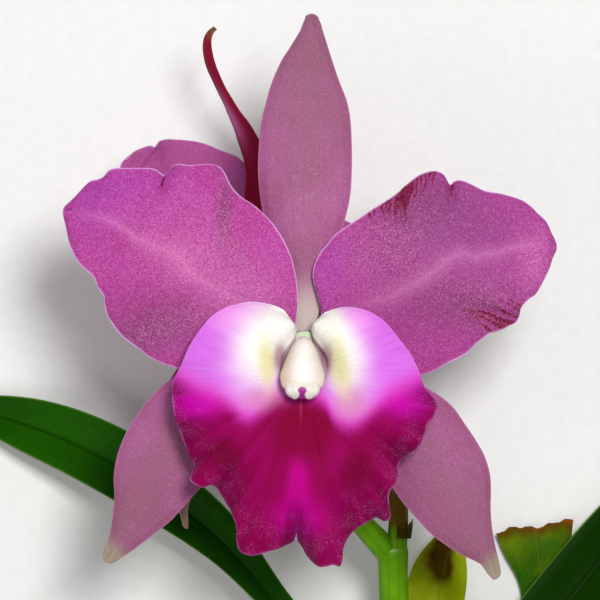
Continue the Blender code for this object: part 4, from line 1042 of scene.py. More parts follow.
def closed_body(rings):
    """Points and faces of a body through rings of equal count, closed by a point at each end."""
    count, sides = rings.shape[:2]
    points = np.concatenate([rings.reshape(-1, 3), rings[:1].mean(axis=1), rings[-1:].mean(axis=1)])
    index = np.arange(count * sides).reshape(count, sides)
    after = np.roll(index, -1, axis=1)
    quads = np.stack([index[:-1], after[:-1], after[1:], index[1:]], axis=-1).reshape(-1, 4)
    first = np.stack([after[0], index[0], np.full(sides, count * sides)], axis=-1)
    last = np.stack([index[-1], after[-1], np.full(sides, count * sides + 1)], axis=-1)
    return points, quads.tolist() + first.tolist() + last.tolist()


def enclosed(points, faces):
    """The volume inside, by the divergence theorem: a sixth of the sum of a . (b x c) over the
    triangles of all faces. A face of four corners is two triangles."""
    triangles = [face[:3] for face in faces] + [[face[0], *face[2:]] for face in faces if len(face) > 3]
    a, b, c = points[np.array(triangles)].transpose(1, 0, 2)
    return float(np.einsum("ij,ij->", a, np.cross(b, c))) / 6


def turning(sides):
    """Even steps once round, as a row."""
    return (np.arange(sides) * 2 * math.pi / sides)[None, :]


def add_body(node, rings, fields, slot):
    """A closed body from its rings. If its volume comes out negative, its faces are turned round.
    A field may be one number, a number a ring or a number a side, and is spread over the points."""
    points, faces = closed_body(rings)
    if enclosed(points, faces) < 0:
        faces = [face[::-1] for face in faces]
    spread = {}
    for field, values in fields.items():
        values = np.broadcast_to(values, rings.shape[:2])
        spread[field] = np.append(values.ravel(), [values[0].mean(), values[-1].mean()])
    add_piece(make_mesh(node + "_body", points, faces, spread), node, slot)


print("a body of 4 rings of 8 points has", len(closed_body(np.random.rand(4, 8, 3))[1]), "faces")

# %% The column as a surface
COLUMN_GRID, CAP_GRID = (72, 60), (72, 26)
RIDGE_HEIGHT, BELLY_SHARE, WING_SHARE = 0.28, 0.72, 0.06
CAP_HALF_WIDTH, CAP_HALF_DEPTH, CAP_LENGTH = 4.3, 2.2, 3.0


def column_rings(sides, count):
    """Ovals along the route, half as wide and as deep as the two profiles say. The first lies flat
    on the hub and the last faces the column's end. A cosine to the eighth power lifts the ridge."""
    shares = np.linspace(0.0, 1.0, count)
    centres = at_shares(smooth_line(COLUMN_ROUTE, PROFILE_STEPS), shares)
    widths, depths = (profile(pairs, shares)[:, None] for pairs in (COLUMN_WIDTHS, COLUMN_DEPTHS))
    tip = ease(shares * 1.6)[:, None]
    upwards = np.cross(unit(np.array([0.0, 0.0, 1.0]) * (1 - tip) + COLUMN_END * tip), ACROSS)
    shares = shares[:, None]
    over, back = np.cos(turning(sides)), np.sin(turning(sides))
    rounded = np.where(back > 0, back, BELLY_SHARE * back)
    ridge = RIDGE_HEIGHT * np.clip(back, 0, 1) ** 8 * np.sin(math.pi * shares)
    wing = np.abs(over) ** 10 * WING_SHARE * ease(3 * shares)
    sideways = widths * over * (1 - WING_SHARE + wing)
    rings = centres[:, None] + sideways[..., None] * ACROSS
    rings = rings + (rounded * depths + ridge)[..., None] * upwards[:, None]
    fields = {
        "ridge": np.clip(back, 0, 1) ** 6,
        "side": np.abs(over) ** 3,
        "left": ease(-over + 0.1),
        "along": shares,
    }
    return rings, fields


def cap_rings(sides, count):
    """A bonnet on the column's end: rings shrink as on a ball, a cleft parts its two lobes, and a
    power of the cosine squares its sides."""
    upwards = np.cross(COLUMN_END, ACROSS)
    start = np.array(COLUMN_ROUTE[-1]) - COLUMN_END * 0.5
    share = np.sin(np.linspace(0.0, math.pi / 2, count))[:, None]
    size = (1 - (share * 0.9999) ** 3) ** (1 / 3)
    turn = turning(sides)
    below = np.sin(turn) < 0
    sideways = np.sign(np.cos(turn)) * np.abs(np.cos(turn)) ** 0.75 * CAP_HALF_WIDTH * size
    height = np.sin(turn) * CAP_HALF_DEPTH * size * (1 + 0.22 * (np.sin(2 * turn) ** 2) * below)
    cleft = bell(sideways, 0.8) * below
    flaps = bell(np.abs(sideways) - 2.9, 0.35)
    height = height * (1 - 0.06 * cleft - 0.22 * flaps * share) - 0.5
    rings = start + COLUMN_END * (CAP_LENGTH * share[..., None]) + sideways[..., None] * ACROSS
    rings = rings + height[..., None] * upwards
    x, y = rings[..., 0], rings[..., 1]
    crown = 1.4 * patch(x, y, (-0.4, -10.6), (1.1, 0.75))
    neck = 1.2 * patch(x, y, (-0.5, -11.9), (0.6, 1.2))
    skirt = 1.6 * patch(x, y, (-0.6, -13.3), (1.4, 1.0))
    return rings, {"keyhole": np.clip(crown + neck + skirt, 0, 1), "along": share}


print("the column's widest ring is", 2 * max(width for _, width in COLUMN_WIDTHS), "mm across")

# %% Paint of the column and of the cap
def column_paint():
    """Cream wax, dusky along its sides and at its foot, and almost white along the ridge, partly its
    own paler wax and partly a painted highlight.
    """
    paint = Paint("column_wax", Specular_IOR_Level=0.2, Subsurface_Weight=0.15, Subsurface_Scale=0.0015)
    clouds = paint.noise(400.0, 3.0)
    colour = paint.coats(
        (218, 206, 194),
        (clouds, (0.3, 0.7), (224, 214, 204)),
        ("side", 0.4, (204, 182, 168)),
        ("left", 0.7, (200, 174, 156)),
        # Along the ridge: paler wax, and a painted highlight.
        ("ridge", 0.8, (236, 234, 230)),
        ("along", (0.12, 0.45, 0.6, 0.0), (206, 168, 164)),
    )
    return paint.finish(colour, 0.28, clouds, 0.00004)


def cap_paint():
    """White wax with the magenta keyhole, whose edge a noise makes uneven."""
    paint = Paint("cap_wax", Specular_IOR_Level=0.2, Subsurface_Weight=0.12, Subsurface_Scale=0.001)
    clouds = paint.noise(700.0, 3.0)
    colour = paint.coats(
        (210, 204, 196),
        (clouds, (0.3, 0.7), (220, 216, 206)),
        ("along", (0.05, 0.55, 0.8, 0.0), (224, 214, 204)),
        (paint.plus(paint.field("keyhole"), paint.swing(clouds, 0.3)), (0.3, 0.8), (150, 40, 128)),
    )
    return paint.finish(colour, 0.35, clouds, 0.00003)


SKINS["column"] = column_paint()
SKINS["anther"] = cap_paint()
add_body("column", *column_rings(*COLUMN_GRID), "column")
add_body("anther_cap", *cap_rings(*CAP_GRID), "anther")

# %% [markdown]
# ## The rear bloom
#
# The second flower opened on the far side of the stalk. It is the same kind of flower, a little
# smaller, and no two blooms hold their parts alike: each part is made like the front one, then
# shortened, narrowed, bent and turned a little. Only its dorsal sepal is different: it is twisted
# into a narrow strap, and its crimson is partly its own red and partly painted shade.

# %% How the rear parts differ
REAR_SEPAL_GRID, REAR_PETAL_GRID, REAR_LIP_GRID, REAR_BODY_GRID = (120, 49), (120, 61), (3, 56), (40, 30)
REAR_PETAL_UPPER = [
    (2.15, 3.72), (0.5, 8.0), (-2.5, 14.0), (-5.0, 21.0), (-6.2, 28.0), (-5.0, 33.5),
    (-1.8, 37.7), (0.8, 39.6), (4.8, 41.5), (10.0, 43.9), (16.7, 45.3), (21.2, 45.3),
    (23.6, 43.5), (25.0, 44.1), (27.6, 43.7), (29.8, 42.8), (31.6, 41.2),
]
REAR_PETAL_LOWER = [
    (4.24, 0.75), (9.0, 1.5), (16.0, 3.0), (23.0, 7.0), (28.5, 13.0), (32.0, 19.0),
    (34.5, 25.0), (34.8, 31.0), (34.2, 35.6), (33.4, 38.6),
]
REAR_FURROWS = [((24.2, 44.9), (20.0, 33.0), 1.8, 1.6)]
# For each part: degrees of turn, share of the length, share of the width, bend and bow in mm.
REAR_POSES = {
    "left_lateral_sepal": (4.7, 0.9, 0.85, -6.0, 0.0),
    "right_lateral_sepal": (-12.5, 0.86, 0.5, -2.0, 8.0),
    "left_petal": (67.0, 0.78, 1.0, -4.0, 0.0),
    "right_petal": (0.0, 1.0, 1.0, -2.0, 0.0),
    "lip": (0.0, 0.9, 0.66, 0.0, 0.0),
}


def posed(grid, turn, length, width, bend, bow):
    """Shares of the length and the width along the part's own axis, a bend that grows with the
    square of the way out, a sideways bow, and last a turn about the bloom's middle."""
    axis = unit(grid[-1].mean(axis=0)[:2])
    side = np.array([-axis[1], axis[0]])
    ahead = grid[..., :2] @ axis
    free = np.clip(ahead - 3.6, 0, None)
    sideways = (grid[..., :2] @ side) * (1 - (1 - width) * ease(free / 12))
    sideways = sideways + bow * np.sin(math.pi * np.clip(free / free.max(), 0, 1))
    flat = (ahead - free * (1 - length))[..., None] * axis + sideways[..., None] * side
    a = math.radians(turn)
    turned = flat @ np.array([[math.cos(a), math.sin(a)], [-math.sin(a), math.cos(a)]])
    return np.dstack([turned, grid[..., 2] + bend * (free / 60) ** 2])


def rear_sheet(part, sheet, fields, slot):
    """The same part of the rear bloom, posed and carried to its place."""
    grid, u, v = sheet
    grid = to_rear(posed(grid, *REAR_POSES[part]))
    add_sheet("rear_" + part, (grid, u, v), fields, slot, REAR_AXES[:, 2])


print("rear parts that are turned or narrowed:", len(REAR_POSES))

# %% Rear petals, lateral sepals and lip
grid, u, v = petal(REAR_PETAL_LOWER, REAR_PETAL_UPPER, *REAR_PETAL_GRID, 1.4, REAR_FURROWS)
fields = petal_fields(grid, u, v, {"deep": [((15.0, 30.0), (60.0, 60.0))]}, [])
rear_sheet("right_petal", (grid, u, v), fields, "petal")
rear_sheet("left_petal", (grid[:, ::-1] * np.array([-1.0, 1.0, 1.0]), u, v), fields, "petal")
for side, edges in LATERALS.items():
    sheet = lateral_sepal(*edges, *REAR_SEPAL_GRID)
    rear_sheet(side + "_lateral_sepal", sheet, sepal_fields(*sheet[1:], 0.2, 0.2), "sepal")
sheet = lip(*REAR_LIP_GRID)
rear_sheet("lip", sheet, lip_fields(*sheet), "lip")

# %% Rear column and cap
for part, make_rings, slot in ("column", column_rings, "column"), ("anther_cap", cap_rings, "anther"):
    rings, fields = make_rings(*REAR_BODY_GRID)
    add_body("rear_" + part, to_rear(rings), fields, slot)

# %% [markdown]
# ## Straps along a route
#
# Leaves, the sheath and the twisted rear sepal are all long blades that follow a bent midrib. Each
# place of the midrib has its own width, and the blade leans about it and folds up along it like a
# shallow trough. A curve object with a bent profile can do that, but it can't store what the paint needs.

# %% The strap surface
def strap(shape, rows, columns):
    """At each share of the route: half a width to each side along a direction square to the route,
    turned by the lean. Points rise with the square root of v squared plus a little, times the
    sine of the fold, so that the two halves meet in a soft crease."""
    shares = np.linspace(0.0, 1.0, rows)
    line = at_shares(smooth_line(shape["route"], ROUTE_STEPS), shares)
    side, lift = square_to(line, (0.0, 0.0, 1.0))
    angle = np.radians(profile(shape["lean"], shares))[:, None]
    over = side * np.cos(angle) + lift * np.sin(angle)
    upward = lift * np.cos(angle) - side * np.sin(angle)
    half = profile(shape["widths"], shares)[:, None]
    v = np.sin(np.linspace(-math.pi / 2, math.pi / 2, columns))[None, :]
    fold = math.radians(shape["fold"])
    out = (half * v * math.cos(fold))[..., None]
    up = (half * (np.sqrt(v**2 + 0.03) - 0.17) * math.sin(fold))[..., None]
    grid = line[:, None] + over[:, None] * out + upward[:, None] * up
    return grid, np.broadcast_to(shares[:, None], grid.shape[:2]), np.broadcast_to(v, grid.shape[:2])


def wavy(u, v, seed):
    """A few sines of u and v that never quite repeat, between about -1 and 1."""
    wave = np.sin(37.0 * u + seed) * np.cos(5.0 * v + seed) + np.sin(61.0 * u - 9.0 * v + 2 * seed)
    return 0.5 * wave + 0.3 * np.sin(23.0 * v + 3 * seed)


print("wavy at the middle:", round(float(wavy(0.5, 0.0, 1.0)), 2))

# %% The twisted sepal behind
REAR_DORSAL = {
    "route": [
        (0.0, 3.95, -1.2), (-0.2, 12.7, -3.3), (-1.6, 26.1, -5.8), (-1.9, 35.5, -8.4),
        (0.4, 43.5, -10.5), (3.6, 50.4, -12.0), (6.1, 55.8, -13.2), (8.3, 61.2, -14.5),
        (9.4, 66.0, -15.7), (9.3, 69.0, -16.6), (8.4, 71.0, -17.4), (7.0, 72.1, -18.0),
    ],
    "widths": [
        (0.0, 2.2), (0.15, 4.4), (0.4, 5.0), (0.52, 4.4), (0.62, 3.3), (0.72, 2.3), (0.8, 1.8),
        (0.93, 1.5), (1.0, 0.8),
    ],
    "lean": [
        (0.0, 0.0), (0.12, 28.0), (0.25, 62.0), (0.38, 74.0), (0.5, 72.0), (0.6, 74.0),
        (0.7, 80.0), (0.85, 66.0), (1.0, 60.0),
    ],
    "fold": 8.0,
}
STRAP_SEPAL_GRID = (170, 45)
STRAP_SEPAL_WAVE = 0.18


def strap_sepal_paint():
    """Crimson, partly the sepal's own red and partly painted shade, with long darker veins, a painted
    highlight where light strikes it, and an olive tip.
    """
    paint = Paint("strap_sepal_skin", Specular_IOR_Level=0.1)
    veins = paint.noise(1.0, 4.0, (4.0, 22.0, 1.0))
    grain = paint.noise(2200.0, 3.0)
    colour = paint.coats(
        # A crimson ground, partly the sepal's own red and partly painted shade.
        (140, 2, 38),
        (veins, (0.35, 0.7), (104, 0, 24)),
        ("lit", 0.85, (218, 118, 188)),
        ("along", (0.93, 1.0, 0.0, 0.9), (104, 92, 48)),
        ("back", (0.0, 1.0, 0.0, 0.2), (140, 20, 64)),
    )
    return paint.finish(colour, paint.step(grain, 0.2, 0.8, 0.5, 0.65), veins, 0.00012)


grid, u, v = strap(REAR_DORSAL, *STRAP_SEPAL_GRID)
grid = grid + np.stack([0 * u, 0 * u, STRAP_SEPAL_WAVE * wavy(u, v, 1.3) * v**2], axis=-1)
fields = {"along": u, "lit": patch(u, v, (0.64, 0.4), (0.1, 0.6))}
add_sheet("rear_dorsal_sepal", (to_rear(grid), u, v), fields, "sepal", REAR_AXES[:, 2], strap_sepal_paint())

# %% [markdown]
# ## Stalks
#
# Each flower sits on its ovary, a faintly grooved stalk that would swell into the seed pod. Both
# ovaries leave one stout flower stalk at a node. A curve with a round bevel gives a plain pipe.
# Rings along the route can carry grooves, swell at the node and round their cut ends.

# %% Rings along a route
FRONT_PEDICEL = [
    (0.0, 0.0, 3.0), (0.0, 0.0, -3.0), (0.0, 0.0, -9.0), (0.4, -4.0, -18.0),
    (2.5, -14.0, -27.5), (6.0, -28.0, -34.0), (10.5, -40.0, -38.0), (15.0, -47.6, -40.5),
    (19.8, -53.2, -42.5), (22.6, -56.5, -44.0),
]
OVARY_RADII = [3.6, 3.6, 3.4, 3.3, 3.1, 2.9, 2.8, 3.0, 3.3, 3.4]
REAR_PEDICEL = [
    (24.8, -55.6, -44.0), (25.1, -52.5, -43.2), (25.4, -47.0, -43.2), (25.2, -40.0, -44.0),
    (23.0, -27.0, -45.0), (16.9, -12.0, -43.5), (6.6, 1.0, -39.5), (-3.0, 9.0, -36.5),
]
REAR_OVARY_ENDS = [(0.0, 0.0, -17.0), (0.0, 0.0, -10.0), (0.0, 0.0, -4.0), (0.0, 0.0, 3.0)]
REAR_OVARY_RADII = [2.9, 2.7, 2.6, 2.6, 2.6, 2.6, 2.8, 3.1, 3.3, 3.3, 3.6, 3.6]
PEDUNCLE = [
    (25.4, -112.1, -63.4), (25.3, -107.0, -63.2), (25.0, -97.0, -60.8), (24.7, -84.0, -56.0),
    (24.4, -70.0, -50.0), (24.0, -60.0, -45.6), (23.9, -54.0, -43.4),
]
PEDUNCLE_RADII = [3.2, 3.5, 3.9, 4.0, 4.0, 4.0, 4.3]
NODE_RING, NODE_WIDTH, NODE_SWELL = 0.45, 2.4, 0.03
OVARY = {"rows": 150, "sides": 60, "grooves": 6, "depth": 0.05, "rounding": 0.5}
STALK = {"rows": 150, "sides": 60, "grooves": 9, "depth": 0.012, "rounding": 2.6}


def stalk_rings(route, radii, rows, sides, grooves, depth, rounding):
    """Circles square to the route. A cosine of the turn cuts the grooves, and the last stretch at
    each end is rounded off like the edge of a coin. With the rings come how far along each one is
    and the fields of a plain stalk."""
    line = smooth_line(np.column_stack([route, radii]), ROUTE_STEPS)
    shares = (1 - np.cos(np.linspace(0.0, math.pi, rows))) / 2
    shares = 0.5 * shares + 0.5 * np.linspace(0.0, 1.0, rows)
    line = at_shares(line, shares)
    centres, radius = line[:, :3], line[:, 3]
    side, other = square_to(centres, ACROSS)
    length = np.linalg.norm(np.diff(centres, axis=0), axis=1).sum()
    from_end = np.minimum(shares, 1 - shares) * length
    missing = np.clip(rounding - from_end, 0, rounding)
    radius = radius - rounding + np.sqrt(rounding**2 - missing**2)
    turn = turning(sides)
    groove = np.clip(np.cos(grooves * turn), 0, 1) ** 3
    reach = radius[:, None] * (1 - groove * depth)
    rings = centres[:, None] + (np.cos(turn) * reach)[..., None] * side[:, None]
    rings = rings + (np.sin(turn) * reach)[..., None] * other[:, None]
    return rings, shares[:, None], {"groove": groove, "hub": 0.0, "ring": 0.0, "husk": 0.0}


print("the front stalk passes", len(FRONT_PEDICEL), "places, the flower stalk", len(PEDUNCLE))

# %% Stalk paint
def stalk_paint():
    """Fresh green with darker grooves, paler at the hub, brown where dry, and a painted highlight on
    the node's ring.
    """
    paint = Paint("stalk_skin", Specular_IOR_Level=0.08, Subsurface_Weight=0.08, Subsurface_Scale=0.001)
    clouds = paint.noise(140.0, 4.0)
    grain = paint.noise(3000.0, 3.0)
    colour = paint.coats(
        (98, 154, 2),
        (clouds, (0.3, 0.7), (82, 136, 0)),
        ("groove", 0.35, (58, 104, 10)),
        (grain, (0.5, 0.8, 0.0, 0.3), (142, 178, 70)),
        ("hub", 1.0, (190, 204, 170)),
        # A painted highlight on the node's swollen ring.
        ("ring", 0.7, (206, 222, 150)),
        ("husk", paint.step(clouds, 0.25, 0.5, 0.7, 0.95), (92, 62, 8)),
    )
    return paint.finish(colour, paint.step(grain, 0.2, 0.8, 0.35, 0.5), clouds, 0.00008)


SKINS["stalk"] = stalk_paint()
rings, shares, fields = stalk_rings(FRONT_PEDICEL, OVARY_RADII, **OVARY)
fields["hub"] = ease((0.05 - shares) / 0.05)
add_body("ovary", rings, fields, "stalk")

rear_route = REAR_PEDICEL + to_rear(np.array(REAR_OVARY_ENDS)).tolist()
rings, shares, fields = stalk_rings(rear_route, REAR_OVARY_RADII, **OVARY)
fields["hub"] = ease((shares - 0.95) / 0.05)
fields["husk"] = ease((rings[..., 1] + 51.0) / 3.0) * ease((-37.0 - rings[..., 1]) / 4.0)
add_body("rear_ovary", rings, fields, "stalk")

rings, shares, fields = stalk_rings(PEDUNCLE, PEDUNCLE_RADII, **STALK)
x, y, z = rings[..., 0], rings[..., 1], rings[..., 2]
at_node = bell(y + 55.0 + 0.15 * z + 6.6, NODE_RING) * bell(x - 22.6, NODE_WIDTH)
centres = rings.mean(axis=1, keepdims=True)
# The node's band carries the painted highlight of its swollen ring.
fields["ring"] = at_node
add_body("peduncle", centres + (rings - centres) * (1 + NODE_SWELL * at_node[..., None]), fields, "stalk")

# %% [markdown]
# ## Leaves
#
# A cattleya leaf is thick, stiff and glossy, because it has to store water. Its veins run side by
# side from foot to tip and hardly show, the midrib is a sharp groove above and a keel below, and
# light slides along it in one long band. So the surface stays almost smooth, the groove is real,
# and the veins are only a faint bump in the paint.

# %% Routes and widths of the leaves
LEFT_LEAF = {
    "route": [
        (20.6, -112.1, -65.0), (20.4, -108.5, -64.8), (16.5, -101.0, -63.0), (7.0, -88.0, -60.0),
        (-7.0, -73.0, -58.5), (-23.0, -54.8, -58.5), (-43.0, -39.8, -61.0), (-62.0, -29.4, -65.0),
        (-82.0, -22.2, -70.0), (-100.0, -18.0, -73.2),
    ],
    "widths": [
        (0.0, 2.6), (0.1, 3.4), (0.22, 3.9), (0.35, 5.4), (0.5, 8.6), (0.66, 10.6), (0.82, 9.2),
        (0.94, 5.0), (1.0, 1.2),
    ],
    "lean": [(0.0, -75.0), (0.25, -30.0), (0.5, -18.0), (1.0, -8.0)],
    "fold": 30.0,
}
RIGHT_LEAF = {
    "route": [
        (32.3, -112.1, -65.6), (33.0, -109.0, -65.4), (38.0, -104.5, -64.5), (49.0, -97.0, -62.5),
        (60.0, -87.0, -62.5), (71.0, -75.0, -64.0), (83.0, -60.5, -67.0), (92.5, -47.5, -70.5),
        (100.0, -35.0, -73.2),
    ],
    "widths": [
        (0.0, 2.2), (0.1, 4.4), (0.25, 7.4), (0.45, 11.0), (0.65, 11.5), (0.82, 9.5), (0.94, 5.0),
        (1.0, 1.2),
    ],
    "lean": [(0.0, 75.0), (0.12, 50.0), (0.25, 26.0), (0.5, 14.0), (1.0, 6.0)],
    "fold": 26.0,
}
OLD_LEAF = {
    "route": [
        (26.5, -112.1, -70.4), (27.5, -109.3, -70.6), (33.0, -105.5, -71.2), (45.0, -102.0, -72.0),
        (57.0, -96.0, -72.6), (65.0, -86.0, -72.8), (67.0, -73.0, -72.6), (65.8, -61.0, -72.2),
        (64.6, -52.6, -72.0),
    ],
    "widths": [(0.0, 2.2), (0.15, 4.0), (0.5, 5.5), (0.8, 6.2), (0.92, 9.2), (1.0, 11.0)],
    "lean": [(0.0, 0.0), (1.0, 0.0)],
    "fold": 6.0,
}
SHEATH = {
    "route": [
        (30.0, -112.1, -66.0), (30.2, -108.0, -66.0), (32.5, -99.0, -66.0), (35.2, -86.0, -64.5),
        (37.0, -72.0, -62.0), (39.5, -60.0, -60.0), (42.0, -50.0, -58.8),
    ],
    "widths": [(0.0, 1.8), (0.12, 3.6), (0.35, 7.0), (0.6, 9.4), (0.78, 8.8), (0.92, 4.8), (1.0, 1.2)],
    "lean": [(0.0, 60.0), (0.3, 34.0), (1.0, 24.0)],
    "fold": 22.0,
}
LEAF_GRID, OLD_GRID = (190, 41), (170, 41)
LEAF_GROOVE, OLD_GROOVE, SHEATH_GROOVE = 0.5, 0.3, 0.15
print("leaves are", THICKNESS["leaf"], "mm thick along the middle")

# %% Leaf surface and its groove
def leaf(shape, size, groove):
    """The strap, sunk along the midrib by a narrow groove, and nowhere lower than the table."""
    grid, u, v = strap(shape, *size)
    normal = sheet_normals(grid)
    normal = normal * np.sign(normal[..., 2:].mean())
    sunk = groove * bell(v, 0.05) * ease(10 * u) * ease(6 * (1 - u))
    grid = grid - normal * sunk[..., None]
    grid[..., 2] = np.maximum(grid[..., 2], TABLE + THICKNESS["leaf"] / 2)
    return grid, u, v


def leaf_fields(u, v, blotches=()):
    """The groove, and the strength of dry blotches at places (u, v)."""
    return {"groove": bell(v, 0.06), "dry": np.clip(patches(u, v, blotches), 0, 1)}


print("groove in the middle of a leaf:", leaf_fields(np.array([0.5]), np.array([0.0]))["groove"][0])

# %% Green leaf paint
def leaf_paint():
    """Dark green with long veins and a fine grain, painted shade in the groove and over the whole
    right leaf, and paler at rim and back.
    """
    paint = Paint("leaf_skin", Specular_IOR_Level=0.03)
    veins = paint.noise(1.0, 3.0, (1.2, 26.0, 1.0))
    clouds = paint.noise(35.0, 4.0)
    pits = paint.noise(1800.0, 3.0)
    colour = paint.coats(
        (16, 66, 0),
        (clouds, (0.35, 0.7), (26, 80, 0)),
        (veins, (0.45, 0.7, 0.0, 0.3), (44, 100, 8)),
        # Painted shade in the midrib's groove.
        ("groove", 0.7, (8, 30, 0)),
        (pits, (0.3, 0.6, 0.3, 0.0), (12, 44, 0)),
        # Painted shade over the whole right leaf.
        ("deep", 0.8, (8, 32, 0)),
        ("rim", (0.2, 0.9, 0.0, 0.6), (88, 130, 40)),
        ("back", (0.0, 1.0, 0.0, 0.6), (64, 104, 28)),
    )
    height = paint.plus(veins, paint.times(pits, 0.15))
    return paint.finish(colour, paint.step(clouds, 0.3, 0.7, 0.28, 0.4), height, 0.00012)


SKINS["leaf"] = leaf_paint()
# Only the right leaf is painted darker all over, as painted shade.
for node, shape, deep in ("left_leaf", LEFT_LEAF, 0.0), ("right_leaf", RIGHT_LEAF, 1.0):
    sheet = leaf(shape, LEAF_GRID, LEAF_GROOVE)
    fields = leaf_fields(*sheet[1:]) | {"deep": np.full(sheet[1].shape, deep)}
    add_sheet(node, sheet, fields, "leaf")

# %% [markdown]
# ## Dying green
#
# The sheath that held the buds and the oldest leaf are past their work. Chlorophyll goes first in
# clouds, then brown spots spread from the tips and edges. Two noises do this: a slow one decides
# where a part has yellowed, a quicker one eats the brown spots in, and a stored field says where the
# plant itself dries first.

# %% Paint for the old leaf, the sheath and the bract
def dying_paint(name, fresh, yellow, brown, dead, veined):
    """Fresh and yellow clouds with long veins. Brown, then dead tissue spreads where the field dry
    and the quicker noise together pass its limits."""
    paint = Paint(name, Specular_IOR_Level=0.05)
    clouds = paint.noise(70.0, 5.0)
    spots = paint.noise(330.0, 5.0)
    veins = paint.noise(1.0, 4.0, (1.5, veined, 1.0))
    dry = paint.plus(paint.field("dry"), paint.swing(spots, 0.5))
    colour = paint.coats(
        fresh,
        (clouds, (0.35, 0.65), yellow),
        (veins, (0.45, 0.7, 0.0, 0.2), (110, 104, 10)),
        (dry, (0.1, 0.95, 0.0, 0.95), brown),
        (dry, (0.7, 1.1, 0.0, 0.6), dead),
        ("groove", 0.3, (90, 96, 30)),
    )
    height = paint.plus(veins, paint.times(spots, 0.5))
    return paint.finish(colour, paint.step(dry, 0.2, 0.7, 0.45, 0.75), height, 0.00015)


DYING = {
    "old_leaf": ((38, 84, 0), (92, 118, 0), (84, 46, 0), (146, 82, 24), 24.0),
    "sheath": ((130, 148, 0), (164, 178, 24), (78, 50, 0), (38, 24, 0), 30.0),
    "bract": ((44, 44, 0), (62, 50, 2), (104, 60, 6), (172, 106, 24), 20.0),
}
for slot, colours in DYING.items():
    SKINS[slot] = dying_paint(slot + "_skin", *colours)

grid, u, v = leaf(OLD_LEAF, OLD_GRID, OLD_GROOVE)
torn = 0.5 * np.sin(5.0 * v + 1.0) + 0.35 * np.sin(13.0 * v) + 0.12 * np.sin(31.0 * v)
ragged = ease((u - 0.93) / 0.07) * (torn - 0.6)
grid = grid - np.stack([0 * u, ragged, 0 * u], axis=-1)
dry_end = (
    ((1.01, 0.0), (0.04, 3.0)), ((0.72, 0.95), (0.2, 0.3)), ((0.45, -0.8), (0.1, 0.3)),
    ((0.82, 0.95), (0.08, 0.16)),
)
add_sheet("old_leaf", (grid, u, v), leaf_fields(u, v, dry_end), "old_leaf")

sheet = leaf(SHEATH, OLD_GRID, SHEATH_GROOVE)
blotches = ((0.98, -0.3), (0.08, 1.4)), ((0.86, -0.4), (0.1, 0.55)), ((0.79, 0.05), (0.07, 0.4))
add_sheet("sheath", sheet, leaf_fields(*sheet[1:], blotches), "sheath")

# %% [markdown]
# ## The floral bract
#
# A papery scale clasps the rear ovary where it leaves the node. It is the leaf that each flower of
# an orchid starts behind, dried to brown with a torn rim. A cut cone would have a clean rim, so the
# reach of the surface changes with the turn, once in a slow wave and again in small tears.

# %% The bract as a surface
BRACT_FOOT = np.array([25.1, -52.3, -43.2])
BRACT_AXIS = np.array([0.06, 0.98, 0.0])
BRACT_REACH, BRACT_RADIUS, BRACT_HALF_TURN = 5.2, 3.4, 95.0
BRACT_GRID = (60, 150)


def bract(rows, columns):
    """Part of a cone: the radius grows along the axis, and the reach shrinks with a squared cosine
    of the turn and with quick sines of it near the rim."""
    axis = unit(BRACT_AXIS)
    outwards = unit(np.cross(axis, (0.0, 0.0, 1.0)))
    up = np.cross(outwards, axis)
    share = np.linspace(0.0, 1.0, rows)[:, None]
    turn = np.radians(np.linspace(-BRACT_HALF_TURN, BRACT_HALF_TURN, columns))[None, :]
    tears = 0.03 * np.sin(11.0 * turn) + 0.015 * np.sin(29.0 * turn + 1.0)
    uneven = 1 - 0.35 * np.cos(1.5 * (turn - 1.2)) ** 2 + (tears - 0.05) * share**3
    reach = BRACT_REACH * share * uneven
    radius = BRACT_RADIUS + 0.4 * share + 0.04 * np.sin(17.0 * turn) * share
    round_way = np.cos(turn)[..., None] * outwards + np.sin(turn)[..., None] * up
    grid = BRACT_FOOT + radius[..., None] * round_way + reach[..., None] * axis
    return grid, np.broadcast_to(share, reach.shape), np.broadcast_to(turn / 1.66, reach.shape)


sheet = bract(*BRACT_GRID)
add_sheet("floral_bract", sheet, leaf_fields(*sheet[1:], [((1.05, 0.0), (0.22, 3.0))]), "bract")

# %% [markdown]
# ## The cut cane
#
# Below the leaves the growth thickens into a cane, the water store of the plant. It was cut through,
# so its end shows pale flesh with darker dots, each the cross-section of one fibre bundle. The skin
# is ribbed where it has begun to shrink. A clamp on the height keeps its underside flat on the table.

# %% Cane rings and paint
CANE_ROUTE = [
    (27.0, -146.0, -66.4), (27.0, -136.0, -66.2), (26.6, -125.0, -65.6), (26.2, -116.0, -65.2),
    (26.2, -112.5, -65.2),
]
CANE_RADII = [8.5, 9.0, 8.8, 8.2, 7.6]
CANE = {"rows": 110, "sides": 96, "grooves": 16, "depth": 0.03, "rounding": 0.5}


def cane_paint():
    """Green, ribbed skin with dry fibres, and on the cut face pale flesh with a darker dot in the
    middle of each cell."""
    paint = Paint("cane_skin", Specular_IOR_Level=0.4)
    clouds = paint.noise(90.0, 4.0)
    fibres = paint.noise(700.0, 3.0)
    flesh = paint.coats(
        (112, 120, 56),
        (paint.cells(900.0), (0.16, 0.3), (206, 214, 158)),
        (fibres, (0.3, 0.7, 0.4, 0.0), (176, 184, 120)),
    )
    colour = paint.coats(
        (112, 138, 50),
        (clouds, (0.35, 0.7), (136, 150, 70)),
        ("groove", 0.4, (80, 98, 36)),
        (fibres, (0.5, 0.8, 0.0, 0.4), (164, 158, 108)),
        ("cut", 1.0, flesh),
    )
    height = paint.plus(clouds, paint.times(fibres, 0.4))
    return paint.finish(colour, paint.step(clouds, 0.3, 0.7, 0.42, 0.6), height, 0.00018)


